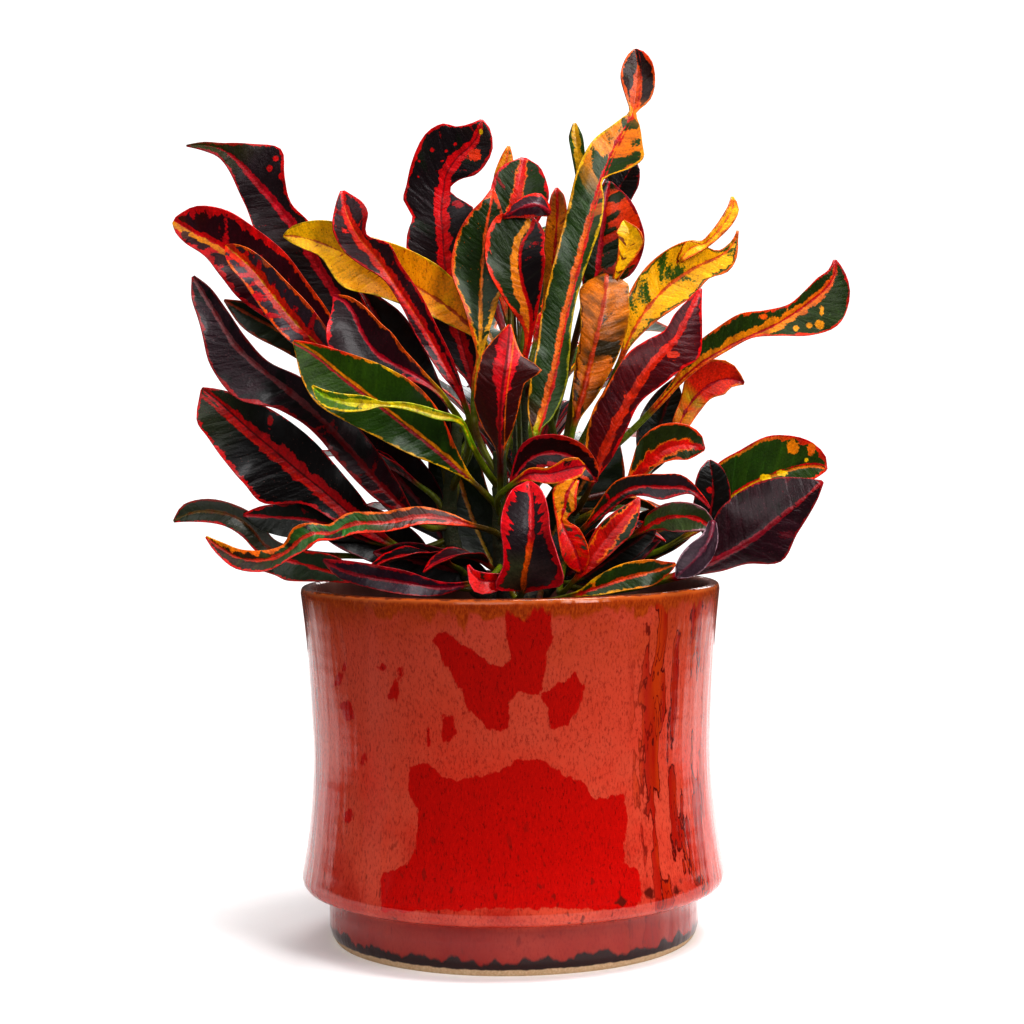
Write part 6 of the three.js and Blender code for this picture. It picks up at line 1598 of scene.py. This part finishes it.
def leaf_material(leaf, order):
    """The markings of a leaf, duller on its underside, and a green to red stalk."""
    if leaf["name"] in LOOKS:
        layers = LOOKS[leaf["name"]]
    else:
        layers = PATTERNS[ARCHED_LEAVES[leaf["name"]][-1]]
    paint = LeafPaint(leaf["name"], order + 1)
    tone = None
    for layer in layers:
        tone = layer(paint, tone)
    dull = paint.blend(UNDERSIDE_SHARE, tone, WINE_UNDERSIDE if leaf["under"] else UNDERSIDE)
    tone = paint.blend(paint.fact("front"), dull, tone)
    along = paint.noise(paint.vector(paint.run, STALK_SEED * order), 0.045, 1.0)
    green = paint.blend(paint.stretch(along[0], -0.08, 0.16), STALK_GREEN, STALK_RED)
    speckled = paint.math("MULTIPLY", paint.stretch(paint.fine[0], 0.0, 0.3), 0.5)
    stalk = paint.blend(speckled, green, STALK_SPECKS)
    on_stalk = 0.0 if leaf["root"] is None else paint.stretch(paint.run, *STALK_STARTS)
    tone = paint.blend(on_stalk, tone, stalk)
    tone = paint.add("Gamma", tone, LEAF_GAMMA).outputs[0]
    value = paint.math("MULTIPLY_ADD", paint.coarse[1], 0.9, 1.0)
    value = paint.math("MULTIPLY_ADD", paint.fine[2], 1.1, value)
    tone = paint.add("HueSaturation", 0.5, LEAF_RICHNESS, value, 1.0, tone).outputs[0]
    roughness = paint.math("MULTIPLY_ADD", paint.fine[0], 0.24, LEAF_ROUGHNESS)
    groove = paint.math("MULTIPLY", paint.within(paint.to_vein, 0.25, 1.4), -0.34)
    pillow = paint.math("MULTIPLY_ADD", paint.coarse[2], 1.6, groove)
    height = paint.math("MULTIPLY_ADD", paint.fine[0], 0.3, pillow)
    paint.surface.inputs["Specular IOR Level"].default_value = LEAF_SPECULAR
    paint.surface.inputs["Coat Weight"].default_value = LEAF_COAT
    paint.surface.inputs["Coat Roughness"].default_value = LEAF_COAT_ROUGHNESS
    return paint.finish(tone, roughness, height, LEAF_RELIEF)


def stem_material(name):
    """Green young wood that turns brown towards the soil."""
    paint = Paint(f"{name}_bark")
    place = paint.place()
    grain = paint.noise(place, 0.35)
    fine = paint.noise(place, 1.4)
    height = paint.math("MULTIPLY_ADD", grain[0], 22.0, paint.fact("height"))
    # The wood colours are the stems' own colours kept dark as painted shade of the crown
    tone = paint.blend(paint.stretch(height, *WOOD_TURNS), SHADED_OLD_WOOD, SHADED_YOUNG_WOOD)
    tone = paint.blend(paint.stretch(fine[1], 0.04, 0.2), tone, WOOD_FLECKS)
    ring = paint.math("PINGPONG", paint.fact("run"), SCAR_SPACING / 2)
    tone = paint.blend(paint.math("MULTIPLY", paint.within(ring, 0.5), 0.4), tone, LEAF_SCARS)
    rough = paint.math("MULTIPLY_ADD", fine[2], 1.0, paint.math("MULTIPLY", grain[1], 0.8))
    return paint.finish(tone, STEM_ROUGHNESS, rough, STEM_RELIEF)


def soil_material():
    """Dark peat with paler bark crumbs and a few white grains."""
    paint = Paint("potting_mix")
    place = paint.place()
    coarse = paint.noise(place, 0.22)
    fine = paint.noise(place, 1.1)
    crumbs = paint.add("TexVoronoi", place)
    crumbs.inputs["Scale"].default_value = 0.34
    kind = paint.add("SeparateColor", crumbs.outputs["Color"])
    tone = paint.blend(paint.stretch(coarse[0], -0.1, 0.15), PEAT, BROWN_PEAT)
    is_bark = paint.math("GREATER_THAN", kind.outputs[0], 1 - BARK_SHARE)
    tone = paint.blend(paint.math("MULTIPLY", is_bark, 0.7), tone, BARK)
    is_white = paint.math("GREATER_THAN", kind.outputs[1], 1 - WHITE_SHARE)
    white = paint.math("MULTIPLY", is_white, paint.within(crumbs.outputs["Distance"], 0.36, 0.1))
    tone = paint.blend(white, tone, WHITE_GRAIN)
    tone = paint.blend(paint.stretch(fine[0], 0.03, 0.2), tone, DAMP_PEAT)
    height = paint.math("MULTIPLY_ADD", crumbs.outputs["Distance"], -1.2, fine[1])
    return paint.finish(tone, SOIL_ROUGHNESS, height, SOIL_RELIEF)


def floor_material():
    """A pale matt floor that glows faintly, so that it runs into the white behind."""
    paint = Paint("studio_floor")
    place = paint.add("TexCoord").outputs["Object"]
    grain = paint.noise(place, 40.0)
    tone = paint.blend(paint.stretch(grain[0], -0.2, 0.2), FLOOR_GREY, FLOOR_WHITE)
    paint.surface.inputs["Emission Color"].default_value = (1, 1, 1, 1)
    paint.surface.inputs["Emission Strength"].default_value = FLOOR_GLOW
    return paint.finish(tone, FLOOR_ROUGHNESS, grain[1], FLOOR_RELIEF)


def distance_to_outline(x, z, outline):
    """Distance of points to a closed outline, in millimetres: below zero inside it."""
    nearest = np.full(x.shape, 1e9)
    inside = np.zeros(x.shape, bool)
    for (ax, az), (bx, bz) in zip(outline, outline[1:] + outline[:1]):
        length = (bx - ax) ** 2 + (bz - az) ** 2
        share = np.clip(((x - ax) * (bx - ax) + (z - az) * (bz - az)) / length, 0, 1)
        nearest = np.minimum(nearest, np.hypot(x - ax - share * (bx - ax), z - az - share * (bz - az)))
        if az != bz:
            crossing = (az > z) != (bz > z)
            inside ^= crossing & (x < ax + (z - az) * (bx - ax) / (bz - az))
    return np.where(inside, -nearest, nearest)


def glaze_facts(planter):
    """Stores how far each point lies from the patches and marks, and where the glaze is streaked."""
    count = len(planter.data.vertices)
    places = np.zeros(3 * count)
    planter.data.vertices.foreach_get("co", places)
    points = places.reshape(-1, 3) / MM
    x, z = in_elevation(points)
    behind = points[:, 1] > 0
    x = np.where(behind, BACK_SHIFT - points[:, 0], x)
    z = np.where(behind, points[:, 2] + BACK_DROP, z)
    patches = np.min([distance_to_outline(x, z, outline) for outline in RED_PATCHES], axis=0)
    marks = np.min([distance_to_outline(x, z, outline) for outline in BROWN_MARKS], axis=0)
    angle = np.degrees(np.arctan2(points[:, 1], points[:, 0]))
    streaks = np.zeros(count)
    for middle, half_width in STREAKED_SIDES:
        apart = (angle - middle + 180) % 360 - 180
        streaks = np.maximum(streaks, np.clip(1.4 - (apart / half_width) ** 2, 0, 1))
    radii, heights = np.array([*FOOT, *BODY[1:]]).T
    outside = np.hypot(points[:, 0], points[:, 1]) > np.interp(points[:, 2], heights, radii) - HALF_WALL
    facts = {"patch": patches, "mark": marks, "streak": streaks, "outside": outside.astype(float)}
    for key, values in facts.items():
        layer = planter.data.attributes.new(key, "FLOAT", "POINT")
        layer.data.foreach_set("value", values.astype(np.float32))


class GlazePaint(Paint):
    """The noises and heights that the layers of the glaze follow."""

    def __init__(self, name):
        super().__init__(name)
        place = self.place()
        self.tall = self.add("VectorMath", place, DRAWN_OUT, operation="MULTIPLY").outputs[0]
        runny = self.add("VectorMath", place, RUN_DOWN, operation="MULTIPLY").outputs[0]
        self.broad = self.noise(place, 0.035)
        self.edge = self.noise(self.tall, 0.3)
        self.grain = self.noise(self.tall, 1.5, detail=4.0, roughness=0.7)
        self.run = self.noise(runny, 0.16, detail=2.0, roughness=0.5)
        self.height = self.fact("height")
        self.share = self.math("MULTIPLY", self.height, 1 / RIM_HEIGHT)

    def cover(self, under, tone, mask, amount):
        """Lays a tone over another where the mask is 1, as strongly as the amount says."""
        return self.blend(self.math("MULTIPLY", mask, amount), under, tone)

    def moved(self, value, *noises):
        """A value that noises move by the given amounts."""
        for source, amount in noises:
            value = self.math("MULTIPLY_ADD", source, amount, value)
        return value


def glaze_coat_and_reflection(paint):
    """Coat with painted reflection, darkest at the foot and orange towards the lip, with a dark and a pale
    grain.
    """
    tone = paint.tones(paint.share, COAT_AND_REFLECTION)
    tone = paint.blend(paint.stretch(paint.broad[0], -0.12, 0.16), tone, COAT_CLOUD)
    tone = paint.cover(tone, COAT_DARK_GRAIN, paint.stretch(paint.grain[0], 0.0, 0.2), 0.75)
    return paint.cover(tone, COAT_PALE_GRAIN, paint.stretch(paint.grain[1], 0.04, 0.22), 0.25)


def glaze_streaks(paint, tone):
    """Orange runs down the streaked sides, with two sets of dark lines."""
    streak = paint.fact("streak")
    flow = paint.moved(paint.run[0], (paint.edge[2], 0.3))
    orange = paint.blend(paint.stretch(paint.run[1], -0.06, 0.16), STREAK_RED, STREAK_ORANGE)
    tone = paint.cover(tone, orange, streak, paint.stretch(flow, 0.0, 0.05))
    for middle, outer, inner, line_tone in STREAK_LINES:
        apart = paint.math("ABSOLUTE", paint.math("SUBTRACT", flow, middle))
        tone = paint.cover(tone, line_tone, streak, paint.stretch(apart, outer, inner))
    return tone


def glaze_patches(paint, tone):
    """Saturated red inside the outlines of the patches, dark specks low down, and the brown marks."""
    red = paint.blend(paint.stretch(paint.share, 0.1, 0.75), PATCH_LOW, PATCH_HIGH)
    red = paint.cover(red, PATCH_PALE_GRAIN, paint.stretch(paint.grain[0], -0.02, 0.2), 0.45)
    red = paint.cover(red, PATCH_DARK_GRAIN, paint.stretch(paint.grain[2], 0.05, 0.18), 0.8)
    to_patch = paint.moved(paint.fact("patch"), (paint.edge[0], 4.5), (paint.grain[1], 1.6))
    tone = paint.blend(paint.within(to_patch, 0.0, soft=0.5), tone, red)
    dark = paint.noise(paint.tall, 0.42, detail=1.0)
    low = paint.stretch(paint.share, 0.55, 0.15)
    speck = paint.math("MULTIPLY", paint.stretch(dark[0], 0.17, 0.22), low)
    tone = paint.cover(tone, LOW_SPECK, speck, 0.7)
    to_mark = paint.moved(paint.fact("mark"), (paint.edge[1], 2.5))
    return paint.blend(paint.within(to_mark, 0.0, soft=0.6), tone, MARK_BROWN)


def glaze_lip(paint, tone):
    """Orange brown where the glaze ran thin below the lip, paler on its turn and dark on its crest."""
    ragged = paint.moved(paint.height, (paint.edge[0], 9.0), (paint.run[2], 12.0))
    thin = paint.blend(paint.stretch(paint.grain[0], -0.1, 0.15), THIN_BROWN, THIN_ORANGE)
    tone = paint.blend(paint.stretch(ragged, *THIN_HEIGHTS), tone, thin)
    crest = paint.moved(paint.height, (paint.edge[2], 1.6))
    tone = paint.blend(paint.stretch(crest, *TURN_HEIGHTS), tone, TURN_ORANGE)
    return paint.blend(paint.stretch(crest, *CREST_HEIGHTS), tone, CREST_BROWN)


def glaze_foot(paint, tone):
    """A foot darkened below the step as painted shade, with nearly black runs near its lower edge."""
    tone = paint.cover(tone, FOOT_SHADE_RED, paint.stretch(paint.height, *FOOT_SHADE_HEIGHTS), 0.7)
    low_edge = paint.moved(paint.height, (paint.run[0], 9.0), (paint.edge[1], 3.0))
    return paint.blend(paint.stretch(low_edge, *BLACK_HEIGHTS), tone, FOOT_BLACK)


def glaze_material():
    """A red glaze that ran, with bare clay at the bottom and a thin wash inside the planter."""
    paint = GlazePaint("red_glaze")
    tone = glaze_coat_and_reflection(paint)
    for layer in (glaze_streaks, glaze_patches, glaze_lip, glaze_foot):
        tone = layer(paint, tone)
    is_clay = paint.stretch(paint.moved(paint.height, (paint.edge[2], 1.2)), *CLAY_HEIGHTS)
    clay = paint.blend(paint.stretch(paint.grain[0], -0.1, 0.15), CLAY_DARK, CLAY_PALE)
    tone = paint.blend(is_clay, tone, clay)
    inner = paint.blend(paint.stretch(paint.broad[1], -0.1, 0.1), WASH_DARK, WASH_PALE)
    tone = paint.blend(paint.math("SUBTRACT", 1.0, paint.fact("outside")), tone, inner)
    smoothness = paint.math("MULTIPLY_ADD", paint.grain[2], 0.06, 0.1)
    roughness = paint.moved(smoothness, (is_clay, 0.65))
    relief = paint.moved(paint.math("MULTIPLY", paint.grain[0], 0.06), (paint.run[1], 0.9))
    paint.surface.inputs["Specular IOR Level"].default_value = GLAZE_SPECULAR
    return paint.finish(tone, roughness, relief, GLAZE_RELIEF)


def take_in(obj, node):
    """Puts a finished piece in the place of a node."""
    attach(obj, "root")
    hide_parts(node)


def plant_of(branch):
    """The node of the plant that a stem belongs to."""
    return "rear_croton" if branch == "rear" else "front_croton"


def build_plant():
    """Every leaf and every stem, each a piece of its own in one of the two plants."""
    leaves = front_leaves() + arched_leaves()
    set_roots(leaves)
    for order, leaf in enumerate(leaves):
        take_in(leaf_object(leaf, leaf_material(leaf, order)), plant_of(leaf["branch"]))
    for name, stem in STEMS.items():
        take_in(stem_object(f"{name}_stem", stem, stem_material(name)), plant_of(name))


def build_pot():
    """The glazed planter and the soil in it."""
    glaze = glaze_material()
    planter = lathe_object("glazed_planter", planter_profile(), PLANTER_SIDES, glaze, THROWN_WOBBLE)
    glaze_facts(planter)
    take_in(planter, "planter")
    soil = lathe_object("soil_surface", soil_profile(), SOIL_SIDES, soil_material())
    crumble(soil)
    take_in(soil, "potting_soil")


def area_light(name, place, size, power):
    """A rectangular light that points at the plant."""
    data = bpy.data.lights.new(name, "AREA")
    data.shape = "RECTANGLE"
    data.size, data.size_y = size
    data.energy = power
    light = bpy.data.objects.new(name, data)
    light.location = place
    light.rotation_mode = "QUATERNION"
    light.rotation_quaternion = (Vector(place) - Vector(LIT_PLACE)).to_track_quat("Z", "Y")
    bpy.context.scene.collection.objects.link(light)


def build_world():
    """White where the camera looks past the floor. Its light comes from above and fades to the horizon."""
    world = bpy.data.worlds.new("studio")
    world.use_nodes = True
    nodes, links = world.node_tree.nodes, world.node_tree.links
    height = nodes.new("ShaderNodeSeparateXYZ")
    links.new(nodes.new("ShaderNodeTexCoord").outputs["Generated"], height.inputs[0])
    dome = nodes.new("ShaderNodeMapRange")
    links.new(height.outputs["Z"], dome.inputs["Value"])
    dome.inputs["From Min"].default_value = DOME_FROM
    dome.inputs["From Max"].default_value = DOME_TO
    dome.inputs["To Min"].default_value = DOME_LOW
    dome.inputs["To Max"].default_value = DOME_HIGH
    strength = nodes.new("ShaderNodeMix")
    links.new(nodes.new("ShaderNodeLightPath").outputs["Is Camera Ray"], strength.inputs[0])
    links.new(dome.outputs["Result"], strength.inputs[2])
    strength.inputs[3].default_value = 1.0
    links.new(strength.outputs[0], nodes["Background"].inputs["Strength"])
    nodes["Background"].inputs["Color"].default_value = (1, 1, 1, 1)
    bpy.context.scene.world = world


def build_studio():
    """Floor, sky, lights and the camera of the photo."""
    turn = 2 * math.pi * np.arange(FLOOR_SIDES) / FLOOR_SIDES
    ring = np.column_stack([
        FLOOR_RADIUS * np.cos(turn), FLOOR_BACK + FLOOR_RADIUS * np.sin(turn), np.zeros(FLOOR_SIDES),
    ])
    make_mesh("floor", ring, [list(range(FLOOR_SIDES))], floor_material())
    build_world()
    for name, (place, size, power) in LIGHTS.items():
        area_light(name, place, size, power)
    scene = bpy.context.scene
    scene.view_settings.view_transform = "Standard"
    scene.view_settings.gamma = VIEW_GAMMA
    scene.view_settings.exposure = VIEW_EXPOSURE
    camera = bpy.data.objects.new("camera", bpy.data.cameras.new("camera"))
    camera.data.lens = LENS
    camera.data.clip_end = FARTHEST_SEEN
    look = Matrix.Rotation(math.radians(90 - PITCH), 4, "X") @ Matrix.Rotation(math.radians(-ROLL), 4, "Z")
    camera.matrix_world = Matrix.Translation(Vector(EYE) * MM) @ look
    scene.collection.objects.link(camera)
    scene.camera = camera


build_pot()
build_plant()
build_studio()
